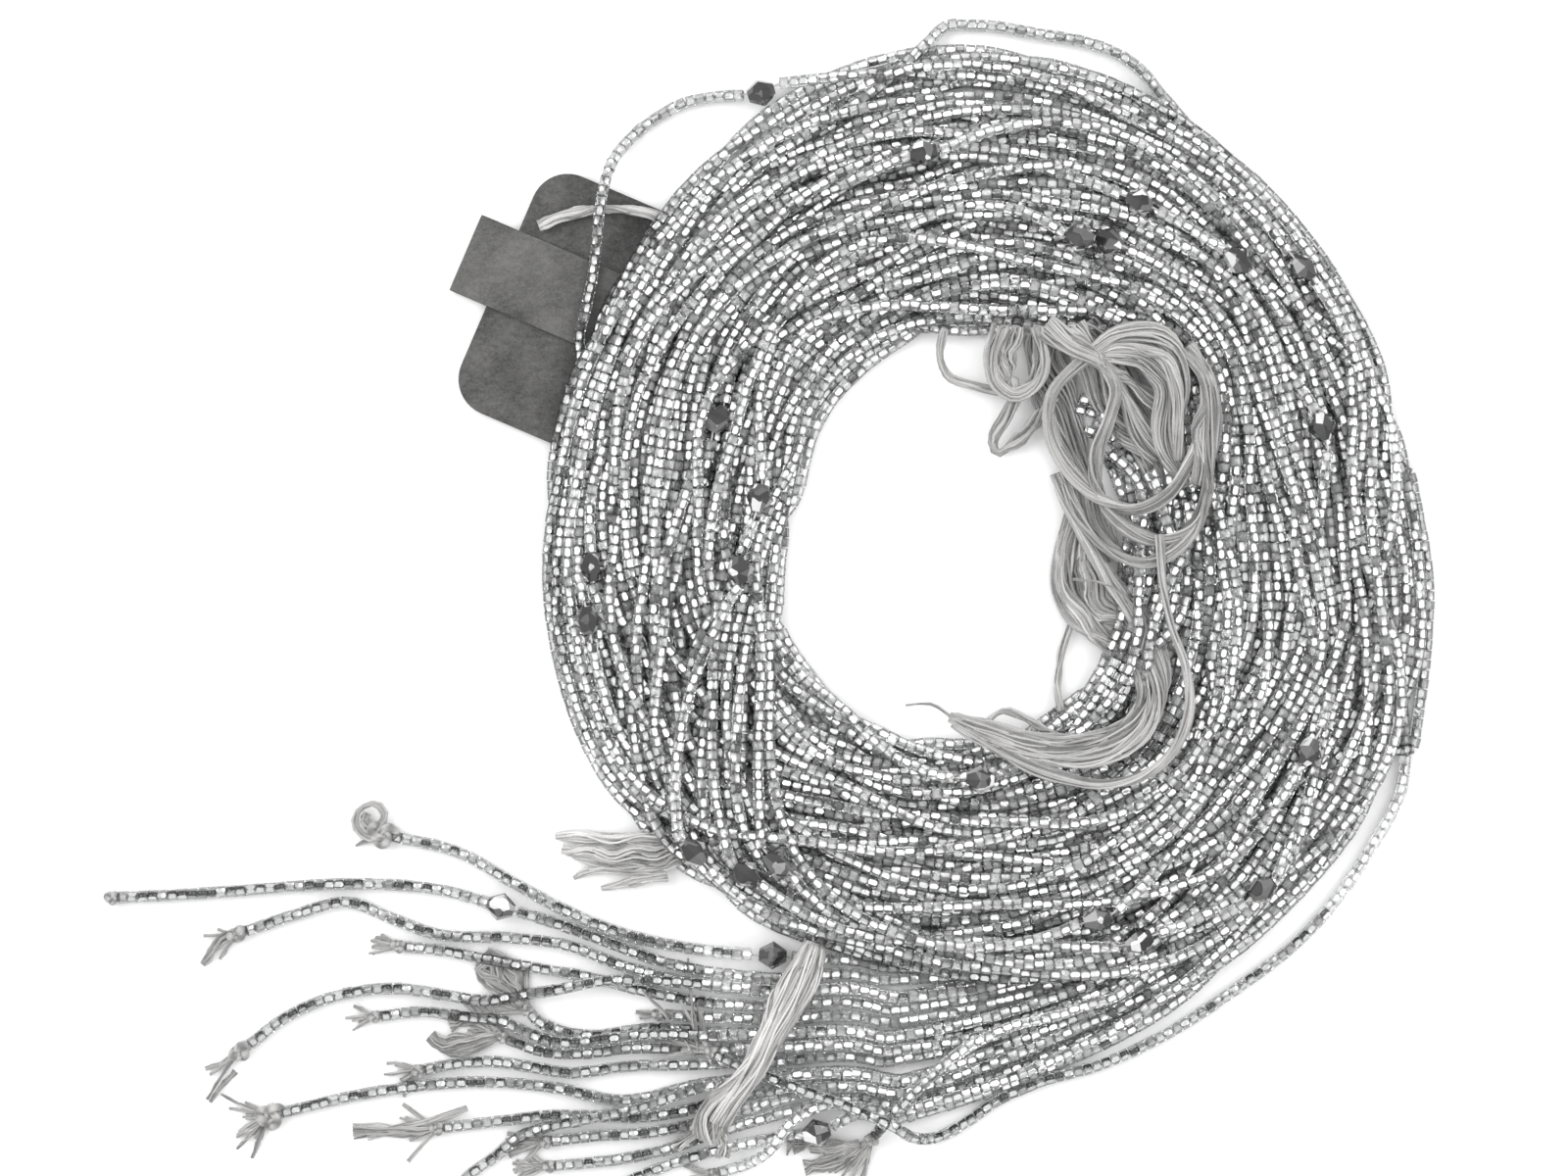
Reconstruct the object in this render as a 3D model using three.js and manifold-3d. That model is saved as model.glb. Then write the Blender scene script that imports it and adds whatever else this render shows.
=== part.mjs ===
// A coiled hank of glass bead strands: the coil, its free tails with knots, faceted crystals that turn
// on their thread, cotton tie threads, and a card with a paper band under the coil.
// Millimetres, +Z up. The hank lies on z = 0; the origin is under the middle of its box.
import * as THREE from 'three';
import { mergeVertices } from 'three/addons/utils/BufferGeometryUtils.js';
import Module from 'manifold-3d';

const wasm = await Module();
wasm.setup();

// ---- driving dimensions ----
const strandDiameter = 2.1; // one bead strand
const threadDiameter = 0.6; // the thread inside it
const gap = 0.3; // between pieces that touch
const layoutScale = 1; // spreads the coil and every route, sizes of pieces unchanged
const coilHeight = 10.7; // both layers of the coil
const bundlesPerLayer = 4;
const crystalDiameter = 5;
const crystalLength = 4.8;
const crystalBore = 1.3;
const crystalSink = 1; // how far a crystal's middle lies below the top of the coil
const crystalDrop = 1; // how far a stray loop comes down from its crystal to its end
const cardSide = 45;
const cardThickness = 0.5;
const cardCorner = 6.5;
const bandWidth = 14.3;
const bandThickness = 0.35;
const bandOverhang = 7.1; // how far the band's near fold stands off the card's edge
const bandSlack = 2.5; // the same at its far fold
const bandOffset = 2.3; // the band's middle line from the card's
const bandTravel = [2, 6.5]; // how far the band slides, outwards and inwards
const cardCordDiameter = 2;
const hankHeight = 6.5;
const tasselThickness = 1.6;
const sideThreadThickness = 1.2;

// ---- levels at which strands lie ----
const pitch = strandDiameter + gap;
const floorLevel = strandDiameter / 2;
const level = {
  low: floorLevel,
  high: floorLevel + pitch,
  top: floorLevel + 2 * pitch,
  crystal: crystalDiameter / 2,
};
const layerHeight = (coilHeight - gap) / 2;

// ---- coil outline: radius at every 22.5 degrees, counter-clockwise from +X ----
const holeRadius = [38, 38, 45, 40.5, 37.4, 40, 42, 37, 37.7, 40.5, 37.7, 36.4, 35, 37, 39, 38.5];
const outerRadiusTop = [72.3, 73.5, 76, 80.5, 87.5, 87.5, 81, 78.5, 75.3, 78, 80, 73.6, 74.5, 78, 80, 78];
const outerRadiusLow = [72.3, 73.5, 76, 80.5, 87.5, 87.5, 81, 78.5, 75.3, 78, 80, 72.6, 67, 62, 63, 73];

// ---- routes of the free tails, from the knot to the gathered run: x, y, level ----
const { low, high, top, crystal } = level;
const tails = [
  {
    name: 'tail_long_upper',
    points: [[-105.1, -50.2, low], [-93.5, -53, low], [-84.8, -57.8, low], [-74, -63.6, low], [-63.2, -67.7, low],
      [-52.4, -69.9, low], [-38.6, -70.9, crystal], [-30.6, -71.6, low], [-23, -72.1, low]],
    crystalAt: 6, knot: [3.2, 2.6, 1.2], lead: 1.6,
  },
  {
    name: 'tail_longest',
    points: [[-153, -60.9, low], [-142, -60.4, low], [-131.8, -59.7, low], [-119.9, -58.8, low], [-109.7, -58.5, low],
      [-96.1, -59.7, low], [-86, -62.4, crystal], [-77.4, -65.1, low], [-68.7, -68.2, low], [-57, -72.4, low],
      [-46.8, -74.3, low], [-38.6, -75, low], [-23, -74.5, low]],
    crystalAt: 6, knot: [1.6, 1.4, 1.1], lead: 1,
  },
  {
    name: 'tail_double_knot',
    points: [[-130.6, -66.8, low], [-121.6, -63.8, low], [-113.1, -61.7, low], [-104.6, -64.8, low],
      [-97.8, -67.2, low], [-84.2, -68, low], [-74, -69.4, low], [-65.5, -72.6, low], [-53.6, -75.7, low],
      [-38.6, -77.4, low], [-23, -76.8, low]],
    knot: [2.2, 1.5, 1.2], lead: 1.6,
  },
  {
    name: 'tail_forked',
    points: [[-102.9, -69.5, low], [-96.1, -70.2, low], [-90.3, -71.4, low], [-79.6, -73.3, low], [-70.9, -74.8, low],
      [-62.1, -77, low], [-50.2, -79.2, low], [-38.6, -79.9, low], [-23, -79.4, low]],
    knot: [1.6, 1.3, 1.1], lead: 1,
  },
  {
    name: 'tail_hooked',
    points: [[-130.1, -86.7, low], [-123.3, -81.6, low], [-113.9, -77.9, low], [-104.6, -76.8, low],
      [-96.1, -77.9, low], [-89.2, -78.9, low], [-82.3, -77.9, low], [-75.7, -76.7, 3.2], [-68.7, -75.3, high],
      [-63.2, -75.1, high], [-49.6, -75.8, high], [-36.6, -77, high], [-23, -76.8, high]],
    knot: [2.3, 1.8, 1.5], lead: 1.8,
  },
  {
    name: 'tail_second_hooked',
    points: [[-107.1, -81.6, low], [-99.5, -80.9, low], [-91.5, -81.9, low], [-86, -82.5, low], [-82.5, -84, 1.5],
      [-79.1, -85.2, 3], [-74.8, -86, high], [-67.2, -85.3, high], [-60.5, -84.5, high], [-50.2, -84.7, high],
      [-36.6, -84.3, high], [-23, -84.2, high]],
    knot: [1.5, 1.2, 1.1], lead: 1,
  },
  {
    name: 'tail_inner_short',
    points: [[-57.6, -81.4, low], [-50.2, -81.8, low], [-38.6, -82.3, low], [-23, -81.8, low]],
    knot: [1.3, 1.2, 1.1], lead: 1,
  },
  {
    name: 'tail_curved',
    points: [[-81.1, -80.9, low], [-79.6, -82.5, low], [-76.8, -83.8, low], [-71.4, -85, low], [-60.5, -83.8, low],
      [-50.2, -84.3, low], [-38.6, -84.7, low], [-23, -84.2, low]],
    knot: [1.2, 1.2, 1.1], lead: 0.4,
  },
  {
    name: 'tail_frayed_middle',
    points: [[-85.2, -85.5, low], [-79.6, -87.6, low], [-72.9, -88.2, low], [-63.2, -87.2, low], [-53.6, -87.4, low],
      [-38.6, -87.2, low], [-23, -86.5, low]],
    knot: [1.3, 1.2, 1.1], lead: 0.6,
  },
  {
    name: 'tail_round_knot',
    points: [[-99.5, -91, low], [-94.7, -90.1, low], [-88.1, -89.6, low], [-81.6, -90.4, low], [-74.1, -91.5, low],
      [-63.8, -90.4, low], [-52.4, -90.1, low], [-38.6, -89.6, low], [-23, -88.9, low]],
    knot: [1.4, 1.4, 1.2], lead: 1,
  },
  {
    name: 'tail_bushy',
    points: [[-124.4, -98.6, low], [-116.5, -96.6, low], [-104.6, -94.4, low], [-91.5, -93.2, low],
      [-80.6, -93.7, low], [-75.1, -94.4, low], [-70.6, -95.5, low], [-65.5, -96.4, low], [-60, -95.7, low],
      [-52.4, -93.7, low], [-45.1, -92.7, low], [-38.6, -92.1, low], [-23, -91.5, low]],
    knot: [3, 2.6, 1.1], lead: 2,
  },
  {
    name: 'tail_low_knot',
    points: [[-96.2, -101.2, low], [-84.8, -99.8, low], [-78.4, -99.1, low], [-70.7, -99.1, low], [-62.1, -99.3, low],
      [-54.6, -98.3, low], [-46.8, -96.1, low], [-38.6, -94.7, low], [-23, -93.8, low]],
    knot: [1.5, 1.3, 1.1], lead: 1,
  },
  {
    name: 'tail_steep',
    points: [[-93.8, -111.5, low], [-90.8, -108.8, low], [-87, -106.1, low], [-82.8, -102.7, low],
      [-77.9, -100.8, 3], [-72.2, -99.5, high], [-62.1, -97.4, high], [-50.2, -93.5, high], [-38.6, -92, high],
      [-23, -91.5, high]],
    knot: [1.5, 1.3, 1.1], lead: 1,
  },
  {
    name: 'tail_brush_upper',
    points: [[-77.4, -103.5, low], [-70.7, -102.7, low], [-60.5, -102, low], [-53.6, -100.8, low], [-46.8, -98.8, low],
      [-42.5, -97.6, 2.4], [-38.2, -96.1, high], [-33.2, -94.5, high], [-23, -93.8, high]],
    knot: [1.4, 1.3, 1.1], lead: 0.8,
  },
  {
    name: 'tail_brush_lower',
    points: [[-76.8, -107.8, low], [-71.9, -107.4, low], [-66.5, -106.8, low], [-57.8, -105.1, low],
      [-48.5, -102, low], [-38.6, -99.1, low], [-30.9, -97.1, low], [-23, -96.2, low]],
    knot: [1.4, 1.3, 1.1], lead: 0.8,
  },
  {
    name: 'tail_crystal_lower',
    points: [[-70.6, -113.6, low], [-61.5, -109.5, low], [-55.1, -107.1, low], [-46.9, -104.7, low],
      [-38.8, -103, low], [-36.2, -102.5, low], [-30.9, -101.8, crystal], [-23, -98.8, low]],
    crystalAt: 6, knot: [1.5, 1.3, 1.1], lead: 1,
  },
  {
    name: 'tail_lowest_short',
    points: [[-48.1, -109, low], [-43.4, -107.6, low], [-39.2, -104.8, 3.8], [-35.1, -99.6, 3.8],
      [-29.8, -96.9, high], [-23, -97.2, high]],
    knot: [1.4, 1.3, 1.1], lead: 0.9,
  },
  {
    name: 'tail_upper_cut',
    points: [[-45.2, -87.1, high], [-38.6, -86.9, high], [-23, -86.7, high]],
  },
  {
    name: 'tail_over_run',
    points: [[-20.9, -102.5, 1.8], [-19.3, -100.2, 4.5], [-14.5, -94.9, 6], [-5.1, -86.7, top], [4.2, -82.5, top],
      [11.1, -80.9, top], [16.5, -78.9, top]],
    knot: [1.6, 1.5, 1.4], lead: 1.2,
  },
  {
    name: 'tail_outermost',
    points: [[-48.6, -87.9, 3.8], [-45.9, -89.1, 4.7], [-41.5, -90.8, top], [-35, -93.3, top], [-25.3, -96.9, top],
      [-17.6, -100.1, 7.1], [-13.9, -102.4, 4.4], [-9.8, -102.7, 1.6], [-5.1, -100.4, low], [0, -96.8, low],
      [7.7, -93.3, low], [19.6, -89.8, low], [29.8, -85, low], [41.7, -77.4, low], [55.3, -66.6, low],
      [65.5, -53, low], [71.6, -40.5, low]],
    knot: [1.4, 1.4, 1.2], lead: 0.8,
  },
];

// ---- routes of single strands that stray from the coil ----
const overBand = cardThickness + 2 * bandThickness + 3 * gap + strandDiameter / 2;
const cardCordLevel = bandThickness + cardThickness + 2 * gap + cardCordDiameter / 2;
const overCord = cardCordLevel + cardCordDiameter / 2 + 2 * gap + strandDiameter / 2;
const strays = [
  {
    name: 'stray_loop_upper_left',
    points: [[-72.4, 36.6, overBand], [-70.6, 44.2, overBand], [-69.5, 50.6, overBand], [-68.9, 56.3, overCord],
      [-68.2, 61.5, overCord], [-66.7, 67, overBand], [-63.6, 71.6, low], [-59, 75.3, low],
      [-52.7, 78.4, low], [-46.4, 79.2, low],
      [-40.6, 79.6, crystal], [-36.9, 81.7, crystal - crystalDrop]],
    crystalAt: 10,
  },
  {
    name: 'stray_loop_upper_right',
    points: [[-8.5, 91.5, low], [-0.9, 91.5, low], [7.7, 90.1, low], [17.9, 88.1, low], [24.7, 84.7, low],
      [28.9, 79.9, low], [31.5, 76.2, low]],
  },
  {
    name: 'stray_loop_right',
    points: [[72.4, 14.6, low], [74.4, 5.1, low], [76, -5.1, low], [75.8, -15.3, low], [74.6, -26.4, low],
      [73.3, -34.9, low]],
  },
];

// ---- two guides between which the tails are gathered beside the coil ----
const runInner = [[-23, -70.9], [-11.1, -70.6], [0.9, -69.4], [11.9, -66.3], [22.1, -61.5], [30.6, -55.8],
  [39.3, -49.3]];
const runOuter = [[-23, -99.8], [-11.1, -98.1], [0.9, -93.2], [12.8, -88.4], [25.5, -82.6], [38.2, -74.8],
  [48.5, -66]];
const runCount = 3;

// ---- threads, card cord and hank outlines ----
const tasselRoute = [[-31.6, -68.9, 4.4], [-32.8, -72.2, 5.5], [-35.7, -77.4, 6.4], [-39.1, -83.3, 7],
  [-42.8, -90.4, 8.6], [-45.9, -94.4, 7.4], [-48.8, -98.6, 5.4], [-50.8, -102, 3.6]];
const tasselWidths = [7.6, 7.2, 6.4, 5.6, 5, 6, 8, 10.5];
const sideThreadRoute = [[-62.7, -53, 1], [-68.9, -53, 1], [-76.5, -52.4, 1]];
const sideThreadWidths = [6.5, 4.5, 2.5];
const cardCordRoute = [[-79.4, 56.4], [-74, 58.3], [-67.2, 59.3], [-60.4, 58.5], [-57.6, 57.6]];
const hankUpper = [[12.8, 33.7], [23, 35], [31.2, 31.2], [33.4, 20.4], [35.7, 10.2], [34.6, 0.9], [28.1, -2],
  [17.9, 0], [11.4, 5.1], [9, 18.7], [9.7, 27.2]];
const hankLower = [[15, -5.5], [23, -6.5], [32, -5.6], [35.4, -12], [31, -20.4], [24.5, -27], [14.5, -30.8],
  [4, -31.5], [-6.8, -29.4], [-5.6, -27], [4.2, -28], [12.8, -27], [18.4, -22.4], [20, -17], [16.2, -11.6]];

// ---- crystals in the upper layer of the coil: angle in degrees and bundle, from the hole outwards ----
const coilCrystals = [
  { name: 'crystal_top_left', angle: 100.5, bundle: 2 },
  { name: 'crystal_top_inner', angle: 75, bundle: 1 },
  { name: 'crystal_upper_right', angle: 50, bundle: 2 },
  { name: 'crystal_right', angle: 20.5, bundle: 2 },
  { name: 'crystal_lower_right', angle: -33, bundle: 2 },
  { name: 'crystal_lower_outer', angle: -52, bundle: 3 },
  { name: 'crystal_bottom_inner', angle: 266, bundle: 0 },
  { name: 'crystal_left_outer', angle: 190, bundle: 3 },
];

// ---- card place ----
const cardCentre = [-66, 38.1];
const cardTurn = THREE.MathUtils.degToRad(-23.2);

// ---- materials ----
const finish = (color, roughness, metalness = 0) => new THREE.MeshStandardMaterial({ color, roughness, metalness });
const beadGlass = finish(0xd9dadc, 0.18, 0.35);
const smokyGlass = finish(0x3c3e42, 0.08, 0.2);
const cotton = finish(0xd6d3ca, 0.9);
const cardStock = finish(0x63615f, 0.92);
const bandPaper = finish(0x6c6a68, 0.9);
const whiteCord = finish(0xe4e2dc, 0.85);

// ---- helpers ----
const part = new THREE.Group();
const place = ([x, y, z]) => new THREE.Vector3(x * layoutScale, y * layoutScale, z);
const toSolid = (geometry) => {
  const bare = geometry.index ? geometry.toNonIndexed() : geometry.clone();
  for (const name of Object.keys(bare.attributes)) if (name !== 'position') bare.deleteAttribute(name);
  const merged = mergeVertices(bare, 1e-4);
  return new wasm.Manifold(new wasm.Mesh({
    numProp: 3, vertProperties: merged.attributes.position.array, triVerts: new Uint32Array(merged.index.array),
  }));
};
const toGeometry = (solid) => {
  const mesh = solid.getMesh();
  const geometry = new THREE.BufferGeometry();
  geometry.setAttribute('position', new THREE.BufferAttribute(mesh.vertProperties, 3));
  geometry.setIndex(new THREE.BufferAttribute(mesh.triVerts, 1));
  geometry.computeVertexNormals();
  return geometry;
};
const add = (name, geometry, material) => {
  const mesh = new THREE.Mesh(geometry, material);
  mesh.name = name;
  part.add(mesh);
  return mesh;
};
const smoothRoute = (points) => new THREE.CatmullRomCurve3(points.map(place), false, 'centripetal');
const closedRadius = (radii, degrees) => {
  // Cyclic Catmull-Rom through radii at equal angles.
  const at = (((degrees % 360) + 360) % 360) / (360 / radii.length);
  const i = Math.floor(at);
  const t = at - i;
  const [a, b, c, d] = [-1, 0, 1, 2].map((k) => radii[(i + k + radii.length) % radii.length]);
  const bent = 2 * b + (c - a) * t + (2 * a - 5 * b + 4 * c - d) * t * t + (3 * b - a - 3 * c + d) * t * t * t;
  return (layoutScale * bent) / 2;
};
// A round tube along a route; 8 sides, a flat side down.
const tubeSides = 8;
const tube = (route, radius, stepLength) => {
  const corner = radius / Math.cos(Math.PI / tubeSides);
  const section = new THREE.Shape(Array.from({ length: tubeSides }, (_, i) => {
    const angle = ((i + 0.5) * 2 * Math.PI) / tubeSides;
    return new THREE.Vector2(corner * Math.cos(angle), corner * Math.sin(angle));
  }));
  const steps = Math.max(3, Math.round(route.getLength() / stepLength));
  return new THREE.ExtrudeGeometry(section, { steps, extrudePath: route, bevelEnabled: false });
};
// An eight-sided loft: at each ring, a centre, a sideways direction, a width and a height.
const loft = (rings, closed) => {
  const sides = 8;
  const stretch = 0.5 / Math.cos(Math.PI / sides);
  const positions = [];
  for (const ring of rings) {
    for (let i = 0; i < sides; i += 1) {
      const angle = ((i + 0.5) * 2 * Math.PI) / sides;
      const out = ring.width * stretch * Math.cos(angle);
      positions.push(ring.x + ring.side[0] * out, ring.y + ring.side[1] * out,
        ring.z + ring.height * stretch * Math.sin(angle));
    }
  }
  const index = [];
  const spans = closed ? rings.length : rings.length - 1;
  for (let r = 0; r < spans; r += 1) {
    for (let i = 0; i < sides; i += 1) {
      const a = r * sides + i;
      const b = r * sides + ((i + 1) % sides);
      const c = ((r + 1) % rings.length) * sides + i;
      const d = ((r + 1) % rings.length) * sides + ((i + 1) % sides);
      index.push(a, c, b, b, c, d);
    }
  }
  if (!closed) {
    const last = (rings.length - 1) * sides;
    for (let i = 1; i < sides - 1; i += 1) {
      index.push(0, i, i + 1, last, last + i + 1, last + i);
    }
  }
  const geometry = new THREE.BufferGeometry();
  geometry.setAttribute('position', new THREE.Float32BufferAttribute(positions, 3));
  geometry.setIndex(index);
  return geometry;
};
const ringBetween = (inner, outer, share, width, z, height) => {
  const across = Math.hypot(outer[0] - inner[0], outer[1] - inner[1]);
  return {
    x: inner[0] + (outer[0] - inner[0]) * share,
    y: inner[1] + (outer[1] - inner[1]) * share,
    z,
    width,
    height,
    side: [(outer[0] - inner[0]) / across, (outer[1] - inner[1]) / across],
  };
};

// ---- crystal: a faceted bicone with a bore ----
const crystalFacets = 8;
const crystalShape = () => {
  const end = crystalDiameter * 0.21;
  return new THREE.LatheGeometry([
    new THREE.Vector2(crystalBore / 2, -crystalLength / 2),
    new THREE.Vector2(end, -crystalLength / 2),
    new THREE.Vector2(crystalDiameter / 2, 0),
    new THREE.Vector2(end, crystalLength / 2),
    new THREE.Vector2(crystalBore / 2, crystalLength / 2),
    new THREE.Vector2(crystalBore / 2, -crystalLength / 2),
  ], crystalFacets);
};
const upAxis = new THREE.Vector3(0, 1, 0);
const alongAxis = (geometry, centre, axis) => {
  geometry.applyQuaternion(new THREE.Quaternion().setFromUnitVectors(upAxis, axis));
  return geometry.translate(centre.x, centre.y, centre.z);
};
const addCrystal = (name, centre, axis) => {
  const mesh = add(name, crystalShape(), smokyGlass);
  mesh.position.copy(centre);
  mesh.quaternion.setFromUnitVectors(upAxis, axis);
};
// Room for a crystal to turn in, and the thread that it turns on.
const roomFor = (centre, axis) => toSolid(alongAxis(new THREE.CylinderGeometry(
  crystalDiameter / 2 + gap, crystalDiameter / 2 + gap, crystalLength + 2 * gap, tubeSides), centre, axis));
const threadThrough = (centre, axis) => toSolid(alongAxis(new THREE.CylinderGeometry(
  threadDiameter / 2, threadDiameter / 2, crystalLength + 2 * gap + strandDiameter, tubeSides), centre, axis));

// ---- card, paper band and the room that they take under the coil ----
const cardBottom = bandThickness + gap;
const bandHeight = cardThickness + 2 * gap + 2 * bandThickness;
const bandFrom = -cardSide / 2 - bandOverhang;
const bandTo = cardSide / 2 + bandSlack;
const roundedSquare = (side, corner) => {
  const half = side / 2;
  const shape = new THREE.Shape();
  shape.moveTo(-half + corner, -half);
  shape.lineTo(half - corner, -half);
  shape.absarc(half - corner, -half + corner, corner, -Math.PI / 2, 0);
  shape.lineTo(half, half - corner);
  shape.absarc(half - corner, half - corner, corner, 0, Math.PI / 2);
  shape.lineTo(-half + corner, half);
  shape.absarc(-half + corner, half - corner, corner, Math.PI / 2, Math.PI);
  shape.lineTo(-half, -half + corner);
  shape.absarc(-half + corner, -half + corner, corner, Math.PI, 1.5 * Math.PI);
  return shape;
};
const onCard = (geometry) => geometry.rotateZ(cardTurn)
  .translate(cardCentre[0] * layoutScale, cardCentre[1] * layoutScale, 0);
const slab = (shape, depth, z, curveSegments = 5) => new THREE.ExtrudeGeometry(shape,
  { depth, bevelEnabled: false, curveSegments }).translate(0, 0, z);
const flatLoop = (from, to, height, inset) => {
  const radius = height / 2 - inset;
  const path = new THREE.Shape();
  path.moveTo(from + height / 2, inset);
  path.lineTo(to - height / 2, inset);
  path.absarc(to - height / 2, height / 2, radius, -Math.PI / 2, Math.PI / 2);
  path.lineTo(from + height / 2, height - inset);
  path.absarc(from + height / 2, height / 2, radius, Math.PI / 2, 1.5 * Math.PI);
  return path;
};
const bandSection = flatLoop(bandFrom, bandTo, bandHeight, 0);
bandSection.holes.push(flatLoop(bandFrom, bandTo, bandHeight, bandThickness));
const bandShape = new THREE.ExtrudeGeometry(bandSection, { depth: bandWidth, bevelEnabled: false, curveSegments: 4 })
  .rotateX(Math.PI / 2).translate(0, bandWidth / 2 + bandOffset, 0);
add('card', onCard(slab(roundedSquare(cardSide, cardCorner), cardThickness, cardBottom)), cardStock);
add('paper_band', onCard(bandShape), bandPaper);
const cardRoom = toSolid(onCard(slab(roundedSquare(cardSide + 4 * gap, cardCorner + 2 * gap),
  cardBottom + cardThickness + gap + 1, -1, 3)));
const bandReach = bandTo - bandFrom + bandTravel[0] + bandTravel[1] + 4 * gap;
const bandRoom = toSolid(onCard(new THREE.BoxGeometry(bandReach, bandWidth + 4 * gap, bandHeight + gap + 1)
  .translate((bandTo + bandFrom + bandTravel[1] - bandTravel[0]) / 2, bandOffset, (bandHeight + gap - 1) / 2)));

// ---- coil: bundles side by side in two layers ----
const coilSteps = 32;
const layers = [
  { word: 'lower', outer: outerRadiusLow, z: layerHeight / 2 },
  { word: 'upper', outer: outerRadiusTop, z: coilHeight - layerHeight / 2 },
];
const bundleRing = (outerRadii, bundle, degrees, z, extra = 0) => {
  const inner = closedRadius(holeRadius, degrees);
  const outer = closedRadius(outerRadii, degrees);
  const angle = THREE.MathUtils.degToRad(degrees);
  const radius = inner + ((bundle + 0.5) / bundlesPerLayer) * (outer - inner);
  return {
    x: radius * Math.cos(angle),
    y: radius * Math.sin(angle),
    z,
    width: (outer - inner) / bundlesPerLayer - gap + 2 * extra,
    height: layerHeight + 2 * extra,
    side: [Math.cos(angle), Math.sin(angle)],
  };
};
const bundleLoft = (layer, bundle, extra) => loft(Array.from({ length: coilSteps }, (_, i) => (
  bundleRing(layer.outer, bundle, (i * 360) / coilSteps, layer.z, extra))), true);
const upperLayer = layers[1];
const crystalPlace = ({ angle, bundle }) => {
  const here = bundleRing(upperLayer.outer, bundle, angle, 0);
  const next = bundleRing(upperLayer.outer, bundle, angle + 1, 0);
  return {
    centre: new THREE.Vector3(here.x, here.y, coilHeight - crystalSink),
    axis: new THREE.Vector3(next.x - here.x, next.y - here.y, 0).normalize(),
  };
};
for (const layer of layers) {
  for (let bundle = 0; bundle < bundlesPerLayer; bundle += 1) {
    let solid = toSolid(bundleLoft(layer, bundle, 0));
    if (layer.word === 'lower') solid = solid.subtract(cardRoom).subtract(bandRoom);
    else {
      for (const bead of coilCrystals.filter((c) => c.bundle === bundle)) {
        const { centre, axis } = crystalPlace(bead);
        solid = solid.subtract(roomFor(centre, axis)).add(threadThrough(centre, axis));
      }
    }
    add(`coil_bundle_${layer.word}_${bundle + 1}`, toGeometry(solid), beadGlass);
  }
}
for (const bead of coilCrystals) {
  const { centre, axis } = crystalPlace(bead);
  addCrystal(bead.name, centre, axis);
}

// ---- gathered runs of the tails beside the coil ----
const runHeight = 2 * pitch - gap;
const gatheredRun = (number) => loft(runInner.map((inner, i) => {
  const outer = runOuter[i];
  const across = layoutScale * Math.hypot(outer[0] - inner[0], outer[1] - inner[1]);
  const scaled = (p) => [p[0] * layoutScale, p[1] * layoutScale];
  return ringBetween(scaled(inner), scaled(outer), (number + 0.5) / runCount, across / runCount - gap,
    runHeight / 2, runHeight);
}), false);
for (let number = 0; number < runCount; number += 1) {
  add(`gathered_run_${number + 1}`, gatheredRun(number), beadGlass);
}

// ---- single strands: free tails with their knots, and strays ----
const stepLength = 3.2 * strandDiameter;
const knotOn = (route, size, lead) => {
  const start = route.getPointAt(0);
  const back = route.getTangentAt(0).negate();
  const lump = new THREE.SphereGeometry(1, 8, 5).scale(size[0], size[1], size[2])
    .rotateZ(Math.atan2(back.y, back.x));
  const centre = start.clone().addScaledVector(back, lead);
  return toSolid(lump.translate(centre.x, centre.y, Math.max(centre.z, size[2])));
};
const strandSolid = ({ points, crystalAt, knot, lead }, endsAtRun) => {
  const route = smoothRoute(points);
  let solid = toSolid(tube(route, strandDiameter / 2, stepLength));
  if (knot) solid = solid.add(knotOn(route, knot, lead));
  solid = solid.trimByPlane([0, 0, 1], 0);
  if (endsAtRun) solid = solid.trimByPlane([-1, 0, 0], gap - runInner[0][0] * layoutScale);
  if (crystalAt === undefined) return { solid };
  const share = crystalAt / (points.length - 1);
  const centre = route.getPoint(share);
  const axis = route.getTangent(share);
  solid = solid.subtract(roomFor(centre, axis)).add(threadThrough(centre, axis));
  return { solid, centre, axis };
};
for (const strand of [...tails, ...strays]) {
  const endsAtRun = strand.points.at(-1)[0] === runInner[0][0];
  const { solid, centre, axis } = strandSolid(strand, endsAtRun);
  add(strand.name, toGeometry(solid), beadGlass);
  if (centre) addCrystal(`crystal_on_${strand.name}`, centre, axis);
}

// ---- tie threads ----
const ribbon = (points, widths, thickness) => {
  const route = smoothRoute(points);
  return loft(points.map((_, i) => {
    const centre = route.getPoint(i / (points.length - 1));
    const ahead = route.getTangent(i / (points.length - 1));
    const flat = Math.hypot(ahead.x, ahead.y);
    return {
      x: centre.x,
      y: centre.y,
      z: centre.z,
      width: widths[i],
      height: thickness,
      side: [ahead.y / flat, -ahead.x / flat],
    };
  }), false);
};
add('tie_thread_tassel', ribbon(tasselRoute, tasselWidths, tasselThickness), cotton);
add('tie_thread_side', ribbon(sideThreadRoute, sideThreadWidths, sideThreadThickness), cotton);
const hankOutline = (points) => new THREE.Shape(new THREE.SplineCurve([...points, points[0]]
  .map(([x, y]) => new THREE.Vector2(x * layoutScale, y * layoutScale))).getPoints(points.length * 2));
add('tie_thread_hank_upper', slab(hankOutline(hankUpper), hankHeight, 0), cotton);
add('tie_thread_hank_lower', slab(hankOutline(hankLower), hankHeight, 0), cotton);
add('card_cord', tube(smoothRoute(cardCordRoute.map(([x, y]) => [x, y, cardCordLevel])),
  cardCordDiameter / 2, 2.5 * cardCordDiameter), whiteCord);

// ---- the origin goes under the middle of the whole box ----
part.updateMatrixWorld(true);
const box = new THREE.Box3().setFromObject(part, true);
part.position.set(-(box.min.x + box.max.x) / 2, -(box.min.y + box.max.y) / 2, -box.min.z);

export default part;
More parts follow.
